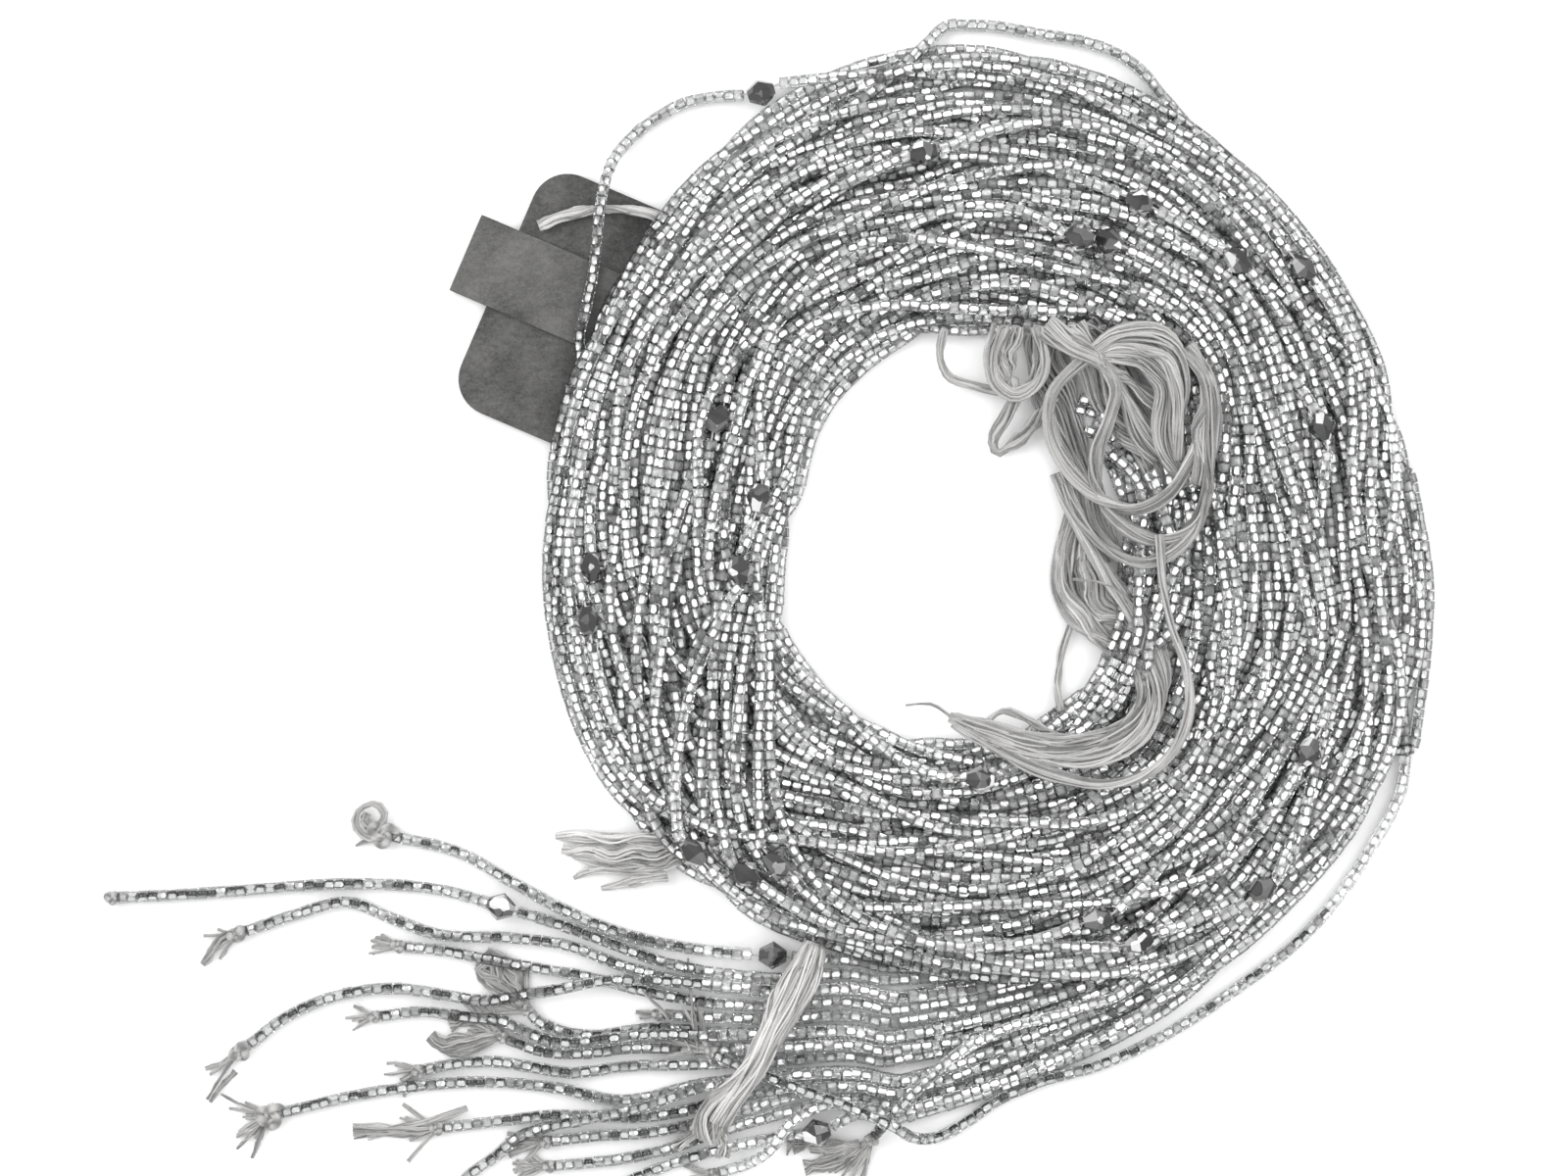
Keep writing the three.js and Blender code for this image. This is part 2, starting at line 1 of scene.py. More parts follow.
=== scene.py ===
import math
import bpy
import numpy as np
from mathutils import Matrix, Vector


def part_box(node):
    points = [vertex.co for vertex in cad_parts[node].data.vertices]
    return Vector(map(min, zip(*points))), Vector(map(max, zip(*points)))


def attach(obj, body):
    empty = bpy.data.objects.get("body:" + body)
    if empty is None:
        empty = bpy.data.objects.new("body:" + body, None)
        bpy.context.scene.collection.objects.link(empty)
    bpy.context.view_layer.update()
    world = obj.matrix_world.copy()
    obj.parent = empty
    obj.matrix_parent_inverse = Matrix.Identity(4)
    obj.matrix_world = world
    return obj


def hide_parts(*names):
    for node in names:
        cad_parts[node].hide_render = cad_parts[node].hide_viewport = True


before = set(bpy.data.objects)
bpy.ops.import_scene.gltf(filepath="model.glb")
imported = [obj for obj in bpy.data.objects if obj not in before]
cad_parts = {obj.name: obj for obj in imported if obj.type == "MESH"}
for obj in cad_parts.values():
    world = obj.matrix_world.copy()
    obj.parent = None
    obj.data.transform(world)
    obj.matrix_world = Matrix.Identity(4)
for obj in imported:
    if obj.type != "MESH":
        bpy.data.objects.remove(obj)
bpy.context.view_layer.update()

# All routes are in millimetres from the middle of the coil, as in the part; row() turns them into metres
# of the row frame. The card's place gives the shift between the two. The band reaches from bandFrom to
# bandTo over its whole slide.
layout = {
    "cardMiddle": (-66.0, 38.1), "cardTurn": math.radians(-23.2), "cardReach": 23.5, "cardTop": 1.4,
    "bandWidth": 14.3, "bandMiddle": 2.3, "bandFrom": -31.6, "bandTo": 31.5, "bandTop": 2.05,
}
cardLow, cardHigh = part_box("card")
shift = np.array([(cardLow[k] + cardHigh[k]) * 500 - layout["cardMiddle"][k] for k in range(2)] + [0.0])


def row(points):
    return (np.asarray(points, float) + shift) * 0.001


camera = {"lens": 85, "width": 272.0, "middle": (-36.6, -6.8), "level": 6.0}
cameraData = bpy.data.cameras.new("camera")
cameraData.lens = camera["lens"]
cameraObject = bpy.data.objects.new("camera", cameraData)
bpy.context.scene.collection.objects.link(cameraObject)
cameraHeight = camera["width"] * camera["lens"] / cameraData.sensor_width + camera["level"]
cameraObject.location = row([*camera["middle"], cameraHeight])
cameraData.clip_start, cameraData.clip_end = 0.01, 20
bpy.context.scene.camera = cameraObject


class Wire:
    # One output of a node. Arithmetic on it adds Math nodes.
    def __init__(self, recipe, socket):
        self.recipe, self.socket = recipe, socket

    def join(self, operation, first, second):
        return self.recipe.add("ShaderNodeMath", {"operation": operation}, {0: first, 1: second})

    def __add__(self, other):
        return self.join("ADD", self, other)

    def __mul__(self, other):
        return self.join("MULTIPLY", self, other)

    def __sub__(self, other):
        return self.join("SUBTRACT", self, other)

    def __rsub__(self, other):
        return self.join("SUBTRACT", other, self)

    __radd__, __rmul__ = __add__, __mul__


class Recipe:
    # The nodes of one material, or of the world.
    def __init__(self, block):
        block.use_nodes = True
        self.block, self.tree = block, block.node_tree

    def add(self, kind, settings=None, sockets=None, output=0):
        node = self.tree.nodes.new(kind)
        for key, value in (settings or {}).items():
            if key == "stops":
                while len(node.color_ramp.elements) < len(value):
                    node.color_ramp.elements.new(0.5)
                for element, (position, colour) in zip(node.color_ramp.elements, value):
                    element.position, element.color = position, (*colour, 1)
            else:
                setattr(node, key, value)
        self.feed(node, sockets or {})
        return Wire(self, node.outputs[output])

    def feed(self, node, sockets):
        for key, value in sockets.items():
            if isinstance(value, Wire):
                self.tree.links.new(value.socket, node.inputs[key])
            else:
                node.inputs[key].default_value = value

    def finish(self, **sockets):
        named = {key.replace("_", " "): value for key, value in sockets.items()}
        self.feed(self.tree.nodes["Principled BSDF"], named)
        return self.block

    def place(self, scale=(1, 1, 1), turn=0.0):
        where = self.add("ShaderNodeTexCoord", output=3)
        return self.add("ShaderNodeMapping", {}, {"Vector": where, "Scale": scale, "Rotation": (0, 0, turn)})

    def noise(self, where, scale, detail=3.0, rough=0.55):
        return self.add("ShaderNodeTexNoise", {}, {"Vector": where, "Scale": scale, "Detail": detail,
                                                   "Roughness": rough})

    def ramp(self, factor, *stops):
        return self.add("ShaderNodeValToRGB", {"stops": stops}, {0: factor})

    def bump(self, height, strength, distance):
        return self.add("ShaderNodeBump", {}, {"Height": height, "Strength": strength, "Distance": distance})


def grey(value, warmth=0.0):
    return (value * (1 + warmth), value, value * (1 - warmth))


def newRecipe(name):
    return Recipe(bpy.data.materials.new(name))


def plainFinish(name, colour, **sockets):
    return newRecipe(name).finish(Base_Color=(*colour, 1), **sockets)


beadClear = plainFinish("bead glass clear", (0.95, 0.955, 0.96), Transmission_Weight=0.94, Roughness=0.03,
                        IOR=1.5)
# A greyer copy of the clear glass: painted shade, for beads on the loose tails and on strays past the coil's
# outer edge.
beadGlassPaintedShade = plainFinish("bead glass painted shade", (0.58, 0.585, 0.59), Transmission_Weight=0.96, Roughness=0.03,
                       IOR=1.5)
beadMisty = plainFinish("bead glass misty", (0.88, 0.885, 0.89), Transmission_Weight=0.82, Roughness=0.1,
                        IOR=1.5)
# Silver lining in three copies: the bright one is the silver itself; the soft one is rougher, with its colour
# dimmed as a painted duller reflection; the dark one, near-black metal, is a painted dark reflection.
liningBright = plainFinish("silver lining bright", (0.97, 0.97, 0.96), Metallic=1.0, Roughness=0.2)
liningSoft = plainFinish("silver lining soft", (0.8, 0.8, 0.79), Metallic=1.0, Roughness=0.34)
liningPaintedDarkReflection = plainFinish("silver lining painted dark reflection", (0.03, 0.03, 0.03), Metallic=1.0, Roughness=0.2)
stringThread = plainFinish("string thread", grey(0.62, 0.02), Roughness=0.85)


def cottonFinish(name, dark, light, strength):
    # Fine fibres and slow patches over each ply's own shade, from the piece's shade attribute.
    recipe = newRecipe(name)
    fibre = recipe.noise(recipe.place(), 2600, 4, 0.7)
    patch = recipe.noise(recipe.place(), 160, 2)
    shade = recipe.add("ShaderNodeAttribute", {"attribute_name": "shade"}, output=2)
    tone = recipe.ramp(fibre * 0.25 + patch * 0.25 + shade * 0.5, (0.2, grey(dark, 0.01)),
                       (0.8, grey(light, 0.01)))
    return recipe.finish(Base_Color=tone, Roughness=0.88, Sheen_Weight=0.35, Sheen_Roughness=0.5,
                         Normal=recipe.bump(fibre, strength, 0.00006))


cotton = cottonFinish("cotton thread", 0.045, 0.58, 0.7)
looseCotton = cottonFinish("loose cotton thread", 0.08, 0.75, 0.7)
knotCotton = cottonFinish("knotted thread", 0.08, 0.5, 0.9)
cordWhite = cottonFinish("card cord", 0.12, 0.62, 0.6)


def smokyGlintFinish():
    # Smoky glass: cells about as large as a facet, most dark, some grey as painted dim facet reflections, a
    # few bright as painted glints.
    recipe = newRecipe("smoky crystal")
    cells = recipe.add("ShaderNodeTexVoronoi", {}, {"Vector": recipe.place(), "Scale": 430}, output=1)
    chance = recipe.add("ShaderNodeSeparateColor", {}, {0: cells})
    # Grey cells from 0.44 and bright cells from 0.89 are painted reflections and glints in the base colour.
    tone = recipe.ramp(chance, (0.0, grey(0.025)), (0.4, grey(0.045)), (0.44, grey(0.1)), (0.85, grey(0.15)),
                       (0.89, grey(0.7)), (1.0, grey(0.9)))
    return recipe.finish(Base_Color=tone, Roughness=0.05, Metallic=0.3, Coat_Weight=1.0, Coat_Roughness=0.02)


def boardFinish(name, dark, light, scale):
    # Pressed fibre board: a fine speckle over slow cloudy patches, with short fibres.
    recipe = newRecipe(name)
    speck = recipe.noise(recipe.place(), 2300 * scale, 5, 0.75)
    cloud = recipe.noise(recipe.place(), 70 * scale, 3)
    fibre = recipe.noise(recipe.place((0.7, 1.2, 1), layout["cardTurn"]), 900 * scale, 4, 0.75)
    mix = speck * 0.3 + cloud * 0.45 + fibre * 0.25
    tone = recipe.ramp(mix, (0.4, grey(dark, 0.015)), (0.6, grey(light, 0.015)))
    return recipe.finish(Base_Color=tone, Roughness=0.93,
                         Normal=recipe.bump(speck * 0.5 + fibre * 0.5, 0.5, 0.00008))


smokyCrystal = smokyGlintFinish()
cardBoard = boardFinish("card board", 0.03, 0.115, 1.0)
bandPaper = boardFinish("band paper", 0.045, 0.135, 1.15)
print("finishes made")


def makePiece(name, points, parts, body="hank", shade=None):
    # parts: (faces as an index array, material, smooth or flat). Points are row-frame metres, and shade is
    # a number for each point that the finish reads.
    mesh = bpy.data.meshes.new(name)
    materials = []
    for _, material, _ in parts:
        if material not in materials:
            materials.append(material)
            mesh.materials.append(material)
    sizes = np.concatenate([np.full(len(faces), faces.shape[1]) for faces, _, _ in parts])
    corners = np.concatenate([faces.ravel() for faces, _, _ in parts]).astype(np.int32)
    mesh.vertices.add(len(points))
    mesh.vertices.foreach_set("co", np.ascontiguousarray(points, np.float32).ravel())
    mesh.loops.add(len(corners))
    mesh.loops.foreach_set("vertex_index", corners)
    mesh.polygons.add(len(sizes))
    mesh.polygons.foreach_set("loop_start", np.concatenate([[0], np.cumsum(sizes)[:-1]]).astype(np.int32))
    mesh.polygons.foreach_set("material_index", np.concatenate(
        [np.full(len(faces), materials.index(material)) for faces, material, _ in parts]).astype(np.int32))
    mesh.polygons.foreach_set("use_smooth", np.concatenate(
        [np.full(len(faces), smooth) for faces, _, smooth in parts]))
    mesh.update(calc_edges=True)
    if shade is not None:
        mesh.attributes.new("shade", "FLOAT", "POINT").data.foreach_set("value", shade.astype(np.float32))
    mesh.validate()
    piece = bpy.data.objects.new(name, mesh)
    bpy.context.scene.collection.objects.link(piece)
    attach(piece, body)
    return piece


def unit(vectors):
    return vectors / np.maximum(np.linalg.norm(vectors, axis=-1, keepdims=True), 1e-9)


def crossFrame(along):
    # A level sideways direction and the one that stands on it, for each direction along.
    side = unit(np.cross(along, (0.0, 0.0, 1.0)) + np.array([1e-6, 2e-6, 0]))
    return side, np.cross(side, along)


def smoothLine(points, spacing):
    # Cubic pieces through the points, with the slope at each from its neighbours; even spacing.
    points = np.asarray(points, float)
    reach = np.concatenate([[0], np.cumsum(np.linalg.norm(np.diff(points, axis=0), axis=1))])
    slope = np.gradient(points, reach, axis=0)
    at = np.linspace(0, reach[-1], max(3, int(reach[-1] / spacing) + 1))
    k = np.clip(np.searchsorted(reach, at, side="right") - 1, 0, len(reach) - 2)
    span = (reach[k + 1] - reach[k])[:, None]
    t = (at - reach[k])[:, None] / span
    return (points[k] * (1 + 2 * t) * (1 - t) ** 2 + slope[k] * span * t * (1 - t) ** 2
            + points[k + 1] * t * t * (3 - 2 * t) + slope[k + 1] * span * t * t * (t - 1))


def lengthAlong(line):
    return np.concatenate([[0], np.cumsum(np.linalg.norm(np.diff(line, axis=0), axis=1))])


def pointsAt(line, distances):
    reach = lengthAlong(line)
    return np.stack([np.interp(distances, reach, line[:, k]) for k in range(3)], axis=1)


def tubes(lines, radius, sides=5):
    # Round tubes along many lines at once: lines (count, steps, 3); radius a number or one for each step.
    lines = np.asarray(lines, float)
    count, steps, _ = lines.shape
    side, up = crossFrame(unit(np.gradient(lines, axis=1)))
    angle = np.arange(sides) * 2 * math.pi / sides
    reach = np.broadcast_to(np.asarray(radius, float), (count, steps))[:, :, None, None]
    ring = side[:, :, None] * np.cos(angle)[:, None] + up[:, :, None] * np.sin(angle)[:, None]
    points = (lines[:, :, None] + ring * reach).reshape(-1, 3)
    number = np.arange(count * steps * sides).reshape(count, steps, sides)
    here, ahead = number[:, :-1], number[:, 1:]
    walls = np.stack([here, np.roll(here, -1, 2), np.roll(ahead, -1, 2), ahead], -1).reshape(-1, 4)
    return points, walls[:, ::-1], np.concatenate([number[:, 0], number[:, -1, ::-1]])


def gather(*shapes):
    # Puts (points, face arrays...) shapes one behind another in one point list.
    points, groups, start = [], [], 0
    for shape in shapes:
        points.append(shape[0])
        groups.append([faces + start for faces in shape[1:]])
        start += len(shape[0])
    return np.concatenate(points), groups


def wander(seed, rows, steps, waves):
    # Smooth random curves between about -1 and 1: a few sine waves with seeded phases.
    random = np.random.default_rng(seed)
    at = np.linspace(0, 2 * math.pi, steps)
    rate = np.arange(1, waves + 1) * 0.83
    phase = random.uniform(0, 2 * math.pi, (rows, waves, 1))
    size = random.normal(0, 1, (rows, waves, 1)) / np.sqrt(waves)
    return (size * np.sin(rate[None, :, None] * at + phase)).sum(1)


low, high, top, crystal = 1.05, 3.45, 5.85, 2.5  # levels at which strands lie
overBand, overCord = 3.15, 5.1
# name, which point holds a crystal, knot radii, how far the knot stands off, loose threads at the end as
# (number, length, spread), and the route from the knot to the gathered run.
tails = [
    ("long_upper", 6, (3.2, 2.6, 1.2), 1.6, (3, 5, 0.9),
        [(-105.1, -50.2, low), (-93.5, -53, low), (-84.8, -57.8, low), (-74, -63.6, low),
         (-63.2, -67.7, low), (-52.4, -69.9, low), (-38.6, -70.9, crystal), (-30.6, -71.6, low),
         (-23, -72.1, low)]),
    ("longest", 6, (1.6, 1.4, 1.1), 1, (2, 1.5, 0.3),
        [(-153, -60.9, low), (-142, -60.4, low), (-131.8, -59.7, low), (-119.9, -58.8, low),
         (-109.7, -58.5, low), (-96.1, -59.7, low), (-86, -62.4, crystal), (-77.4, -65.1, low),
         (-68.7, -68.2, low), (-57, -72.4, low), (-46.8, -74.3, low), (-38.6, -75, low),
         (-23, -74.5, low)]),
    ("double_knot", None, (2.2, 1.5, 1.2), 1.6, (4, 6, 0.5),
        [(-130.6, -66.8, low), (-121.6, -63.8, low), (-113.1, -61.7, low), (-104.6, -64.8, low),
         (-97.8, -67.2, low), (-84.2, -68, low), (-74, -69.4, low), (-65.5, -72.6, low),
         (-53.6, -75.7, low), (-38.6, -77.4, low), (-23, -76.8, low)]),
    ("forked", None, (1.6, 1.3, 1.1), 1, (7, 6, 0.5),
        [(-102.9, -69.5, low), (-96.1, -70.2, low), (-90.3, -71.4, low), (-79.6, -73.3, low),
         (-70.9, -74.8, low), (-62.1, -77, low), (-50.2, -79.2, low), (-38.6, -79.9, low),
         (-23, -79.4, low)]),
    ("hooked", None, (2.3, 1.8, 1.5), 1.8, (3, 11, 0.25),
        [(-130.1, -86.7, low), (-123.3, -81.6, low), (-113.9, -77.9, low), (-104.6, -76.8, low),
         (-96.1, -77.9, low), (-89.2, -78.9, low), (-82.3, -77.9, low), (-75.7, -76.7, 3.2),
         (-68.7, -75.3, high), (-63.2, -75.1, high), (-49.6, -75.8, high), (-36.6, -77, high),
         (-23, -76.8, high)]),
    ("second_hooked", None, (1.5, 1.2, 1.1), 1, (6, 5, 0.6),
        [(-107.1, -81.6, low), (-99.5, -80.9, low), (-91.5, -81.9, low), (-86, -82.5, low),
         (-82.5, -84, 1.5), (-79.1, -85.2, 3), (-74.8, -86, high), (-67.2, -85.3, high),
         (-60.5, -84.5, high), (-50.2, -84.7, high), (-36.6, -84.3, high), (-23, -84.2, high)]),
    ("inner_short", None, (1.3, 1.2, 1.1), 1, (3, 4, 0.4),
        [(-57.6, -81.4, low), (-50.2, -81.8, low), (-38.6, -82.3, low), (-23, -81.8, low)]),
    ("curved", None, (1.2, 1.2, 1.1), 0.4, (9, 8, 0.9),
        [(-81.1, -80.9, low), (-79.6, -82.5, low), (-76.8, -83.8, low), (-71.4, -85, low),
         (-60.5, -83.8, low), (-50.2, -84.3, low), (-38.6, -84.7, low), (-23, -84.2, low)]),
    ("frayed_middle", None, (1.3, 1.2, 1.1), 0.6, (12, 10, 0.6),
        [(-85.2, -85.5, low), (-79.6, -87.6, low), (-72.9, -88.2, low), (-63.2, -87.2, low),
         (-53.6, -87.4, low), (-38.6, -87.2, low), (-23, -86.5, low)]),
    ("round_knot", None, (1.4, 1.4, 1.2), 1, (7, 6, 0.8),
        [(-99.5, -91, low), (-94.7, -90.1, low), (-88.1, -89.6, low), (-81.6, -90.4, low),
         (-74.1, -91.5, low), (-63.8, -90.4, low), (-52.4, -90.1, low), (-38.6, -89.6, low),
         (-23, -88.9, low)]),
    ("bushy", None, (3, 2.6, 1.1), 2, (14, 8, 0.8),
        [(-124.4, -98.6, low), (-116.5, -96.6, low), (-104.6, -94.4, low), (-91.5, -93.2, low),
         (-80.6, -93.7, low), (-75.1, -94.4, low), (-70.6, -95.5, low), (-65.5, -96.4, low),
         (-60, -95.7, low), (-52.4, -93.7, low), (-45.1, -92.7, low), (-38.6, -92.1, low),
         (-23, -91.5, low)]),
    ("low_knot", None, (1.5, 1.3, 1.1), 1, (8, 7, 0.7),
        [(-96.2, -101.2, low), (-84.8, -99.8, low), (-78.4, -99.1, low), (-70.7, -99.1, low),
         (-62.1, -99.3, low), (-54.6, -98.3, low), (-46.8, -96.1, low), (-38.6, -94.7, low),
         (-23, -93.8, low)]),
    ("steep", None, (1.5, 1.3, 1.1), 1, (4, 3, 0.5),
        [(-93.8, -111.5, low), (-90.8, -108.8, low), (-87, -106.1, low), (-82.8, -102.7, low),
         (-77.9, -100.8, 3), (-72.2, -99.5, high), (-62.1, -97.4, high), (-50.2, -93.5, high),
         (-38.6, -92, high), (-23, -91.5, high)]),
    ("brush_upper", None, (1.4, 1.3, 1.1), 0.8, (10, 7, 0.35),
        [(-77.4, -103.5, low), (-70.7, -102.7, low), (-60.5, -102, low), (-53.6, -100.8, low),
         (-46.8, -98.8, low), (-42.5, -97.6, 2.4), (-38.2, -96.1, high), (-33.2, -94.5, high),
         (-23, -93.8, high)]),
    ("brush_lower", None, (1.4, 1.3, 1.1), 0.8, (12, 6, 0.4),
        [(-76.8, -107.8, low), (-71.9, -107.4, low), (-66.5, -106.8, low), (-57.8, -105.1, low),
         (-48.5, -102, low), (-38.6, -99.1, low), (-30.9, -97.1, low), (-23, -96.2, low)]),
    ("crystal_lower", 6, (1.5, 1.3, 1.1), 1, (4, 3, 0.5),
        [(-70.6, -113.6, low), (-61.5, -109.5, low), (-55.1, -107.1, low), (-46.9, -104.7, low),
         (-38.8, -103, low), (-36.2, -102.5, low), (-30.9, -101.8, crystal), (-23, -98.8, low)]),
    ("lowest_short", None, (1.4, 1.3, 1.1), 0.9, (5, 5, 0.5),
        [(-48.1, -109, low), (-43.4, -107.6, low), (-39.2, -104.8, 3.8), (-35.1, -99.6, 3.8),
         (-29.8, -96.9, high), (-23, -97.2, high)]),
    ("upper_cut", None, None, 0, (0, 0, 0),
        [(-45.2, -87.1, high), (-38.6, -86.9, high), (-23, -86.7, high)]),
    ("over_run", None, (1.6, 1.5, 1.4), 1.2, (9, 14, 0.5),
        [(-20.9, -102.5, 1.8), (-19.3, -100.2, 4.5), (-14.5, -94.9, 6), (-5.1, -86.7, top),
         (4.2, -82.5, top), (11.1, -80.9, top), (16.5, -78.9, top)]),
    ("outermost", None, (1.4, 1.4, 1.2), 0.8, (6, 12, 0.6),
        [(-48.6, -87.9, 3.8), (-45.9, -89.1, 4.7), (-41.5, -90.8, top), (-35, -93.3, top),
         (-25.3, -96.9, top), (-17.6, -100.1, 7.1), (-13.9, -102.4, 4.4), (-9.8, -102.7, 1.6),
         (-5.1, -100.4, low), (0, -96.8, low), (7.7, -93.3, low), (19.6, -89.8, low),
         (29.8, -85, low), (41.7, -77.4, low), (55.3, -66.6, low), (65.5, -53, low),
         (71.6, -40.5, low)]),
]
# Stretches of single strands that stray from the coil, in the direction in which the coil is wound.
strays = {
    "loop_right": ("outermost", [(73.3, -34.9, low), (74.6, -26.4, low), (75.8, -15.3, low), (76, -5.1, low),
                                 (74.4, 5.1, low), (72.4, 14.6, low)]),
    "loop_upper_right": ("lowest_short", [(31.5, 76.2, low), (28.9, 79.9, low), (24.7, 84.7, low),
                                          (17.9, 88.1, low), (7.7, 90.1, low), (-0.9, 91.5, low),
                                          (-8.5, 91.5, low)]),
    "loop_upper_left": ("low_knot", [(-36.9, 81.7, 1.5), (-40.6, 79.6, crystal), (-46.4, 79.2, low),
                                     (-52.7, 78.4, low), (-59, 75.3, low), (-63.6, 71.6, low),
                                     (-66.7, 67, overBand), (-68.2, 61.5, overCord), (-68.9, 56.3, overCord),
                                     (-69.5, 50.6, overBand), (-70.6, 44.2, overBand),
                                     (-72.4, 36.6, overBand)]),
}
names = [tail[0] for tail in tails]


# Each strand runs from its tail through the gathered run and four times round. At every angle the strands
# are circles in a radius-height section: they are laid out side by side and on each other, then pressed
# down and pushed apart until they rest on each other, the card and the floor.
winding = {
    "step": 2.5, "first": 250.0, "turns": 5, "merge": (288.0, 332.0), "end": 1832.0,
    "rounds": (150, 70), "even": 0.44,
    "hole": [33.5, 34.5, 43, 40.6, 37.6, 39.6, 40, 35.4, 37.2, 38.6, 36.8, 36.2, 34.6, 31, 29.5, 31],
    "outer": [72.5, 74.3, 76.5, 81.5, 88.5, 88.5, 81, 78.5, 76.6, 79, 81, 74.6, 74.8, 78.5, 80, 79],
    "innerEnd": [(1740, 29), (1760, 26.6), (1780, 24.2), (1800, 23.2), (1822, 24.6), (1847, 25.8),
    (1868, 25)],
    "runInner": [(252, 74.5), (261, 71.5), (271, 69.4), (280, 67.4), (290, 65.4), (299, 63.6), (309, 63)],
    "runOuter": [(252, 104.5), (257, 102.4), (264, 98.7), (271, 93.2), (278, 89.3), (287, 86.4), (297, 84),
                 (306, 81.9)],
    "share": [(312, 0.87), (540, 0.87), (600, 0.4), (650, 0.4), (694, 0.14), (900, 0.14), (968, 0.86),
              (1015, 0.86), (1050, 0.62), (1375, 0.62), (1412, 0.38), (1630, 0.38), (1692, 0.13),
              (1850, 0.1)],
}
perTurn = int(360 / winding["step"])
steps = perTurn * winding["turns"]
angles = winding["first"] + winding["step"] * np.arange(steps)
count = len(tails)


def ringRadius(radii, degrees):
    # Cyclic cubic through radii given at equal angles.
    radii = np.array(radii, float)
    at = (degrees % 360) / (360 / len(radii))
    k = np.floor(at).astype(int)
    t = at - k
    a, b, c, d = (radii[(k + step) % len(radii)] for step in (-1, 0, 1, 2))
    return (2 * b + (c - a) * t + (2 * a - 5 * b + 4 * c - d) * t ** 2 + (3 * b - a - 3 * c + d) * t ** 3) / 2


def ease(low, high, value):
    # From 0 at low to 1 at high, level at both.
    t = np.clip((value - low) / (high - low), 0, 1)
    return t * t * (3 - 2 * t)


def polar(points):
    # Angle from 0 to 360 degrees, radius and height.
    points = np.asarray(points, float)
    return (np.degrees(np.arctan2(points[..., 1], points[..., 0])) % 360,
            np.hypot(points[..., 0], points[..., 1]), points[..., 2])


def cardPlace(x, y):
    # The same place measured along and across the card.
    c, s = math.cos(layout["cardTurn"]), math.sin(layout["cardTurn"])
    x, y = x - layout["cardMiddle"][0], y - layout["cardMiddle"][1]
    return x * c + y * s, y * c - x * s


def ground(radius, degrees):
    # What lies under a strand: the band wherever it can slide, the card or the floor.
    x, y = radius * np.cos(np.radians(degrees)), radius * np.sin(np.radians(degrees))
    along, across = cardPlace(x, y)
    onCard = (np.abs(along) < layout["cardReach"]) & (np.abs(across) < layout["cardReach"])
    onBand = ((along > layout["bandFrom"]) & (along < layout["bandTo"] + 1.8)
              & (np.abs(across - layout["bandMiddle"]) < layout["bandWidth"] / 2 + 3.6))
    return np.where(onBand, layout["bandTop"], np.where(onCard, layout["cardTop"], 0.0))


def slices(values):
    # From strand and step to slice and lane.
    shape = (count, winding["turns"], perTurn) + values.shape[2:]
    return np.ascontiguousarray(np.moveaxis(values.reshape(shape), 2, 0).reshape(
        (perTurn, count * winding["turns"]) + values.shape[2:]))


def unslices(values):
    shape = (perTurn, count, winding["turns"]) + values.shape[2:]
    return np.moveaxis(values.reshape(shape), 0, 2).reshape((count, steps) + values.shape[2:])


tailEnds = np.array([tail[5][-1] for tail in tails], float)
startAngle, startRadius, startLevel = polar(tailEnds)
endAngle = winding["end"] + np.array([(number * 7) % 9 - 4 for number in range(count)]) * 8.0
live = (angles >= startAngle[:, None] + 1.8) & (angles <= endAngle[:, None])
firstStep = live.argmax(1)


def layOut():
    # Share of the coil's width for each strand and step, partly evened out over the lanes of each slice.
    order = np.array([(number * 7) % count for number in range(count)]) / (count - 1) - 0.5
    group = np.array([(number * 7) % count // 4 for number in range(count)])
    base = np.interp(angles, *zip(*winding["share"]))
    share = base + 0.25 * order[:, None]
    share = share + 0.11 * wander(3, 5, steps, 30)[group] + 0.05 * wander(4, count, steps, 40)
    lanes = slices(np.where(live, share, np.nan))
    low, high = np.nanmin(lanes, 1, keepdims=True), np.nanmax(lanes, 1, keepdims=True)
    rank = np.where(np.isnan(lanes), np.inf, lanes).argsort(1).argsort(1)
    rank = rank / np.maximum(slices(live).sum(1)[:, None] - 1, 1)
    share = unslices(winding["even"] * rank
                     + (1 - winding["even"]) * np.nan_to_num((lanes - low) / (high - low)))
    inner = ringRadius(winding["hole"], angles) + 1.2
    outer = ringRadius(winding["outer"], angles) - 1.2
    coil = inner + np.clip(share, 0, 1) * (outer - inner)
    last = ease(1738, 1765, angles)
    coil = (1 - last) * coil + last * (np.interp(angles, *zip(*winding["innerEnd"])) + 1.2 + 22 * share)
    runIn = np.interp(angles, *zip(*winding["runInner"]))
    runOut = np.interp(angles, *zip(*winding["runOuter"]))
    across = (startRadius - np.interp(startAngle, angles, runIn)) / (
        np.interp(startAngle, angles, runOut) - np.interp(startAngle, angles, runIn))
    run = runIn + np.clip(across, 0.03, 0.97)[:, None] * (runOut - runIn)
    blend = ease(*winding["merge"], angles)
    target = (1 - blend) * run + blend * coil
    layer = (np.array([(number * 3) % 5 for number in range(count)])[:, None]
             + 0.9 * wander(5, count, steps, 12))
    level = 1.05 + 1.9 * np.clip(layer, 0, 4.3)
    level = level + 3.5 * ease(895, 925, angles) * (1 - ease(1000, 1030, angles))
    under = ease(255, 275, angles % 360) * (1 - ease(325, 345, angles % 360)) * (angles > 600)
    level = level + 4 * under * ease(0.5, 0.75, share)
    level = (1 - blend) * startLevel[:, None] + blend * level
    return target, level + ground(target, angles)


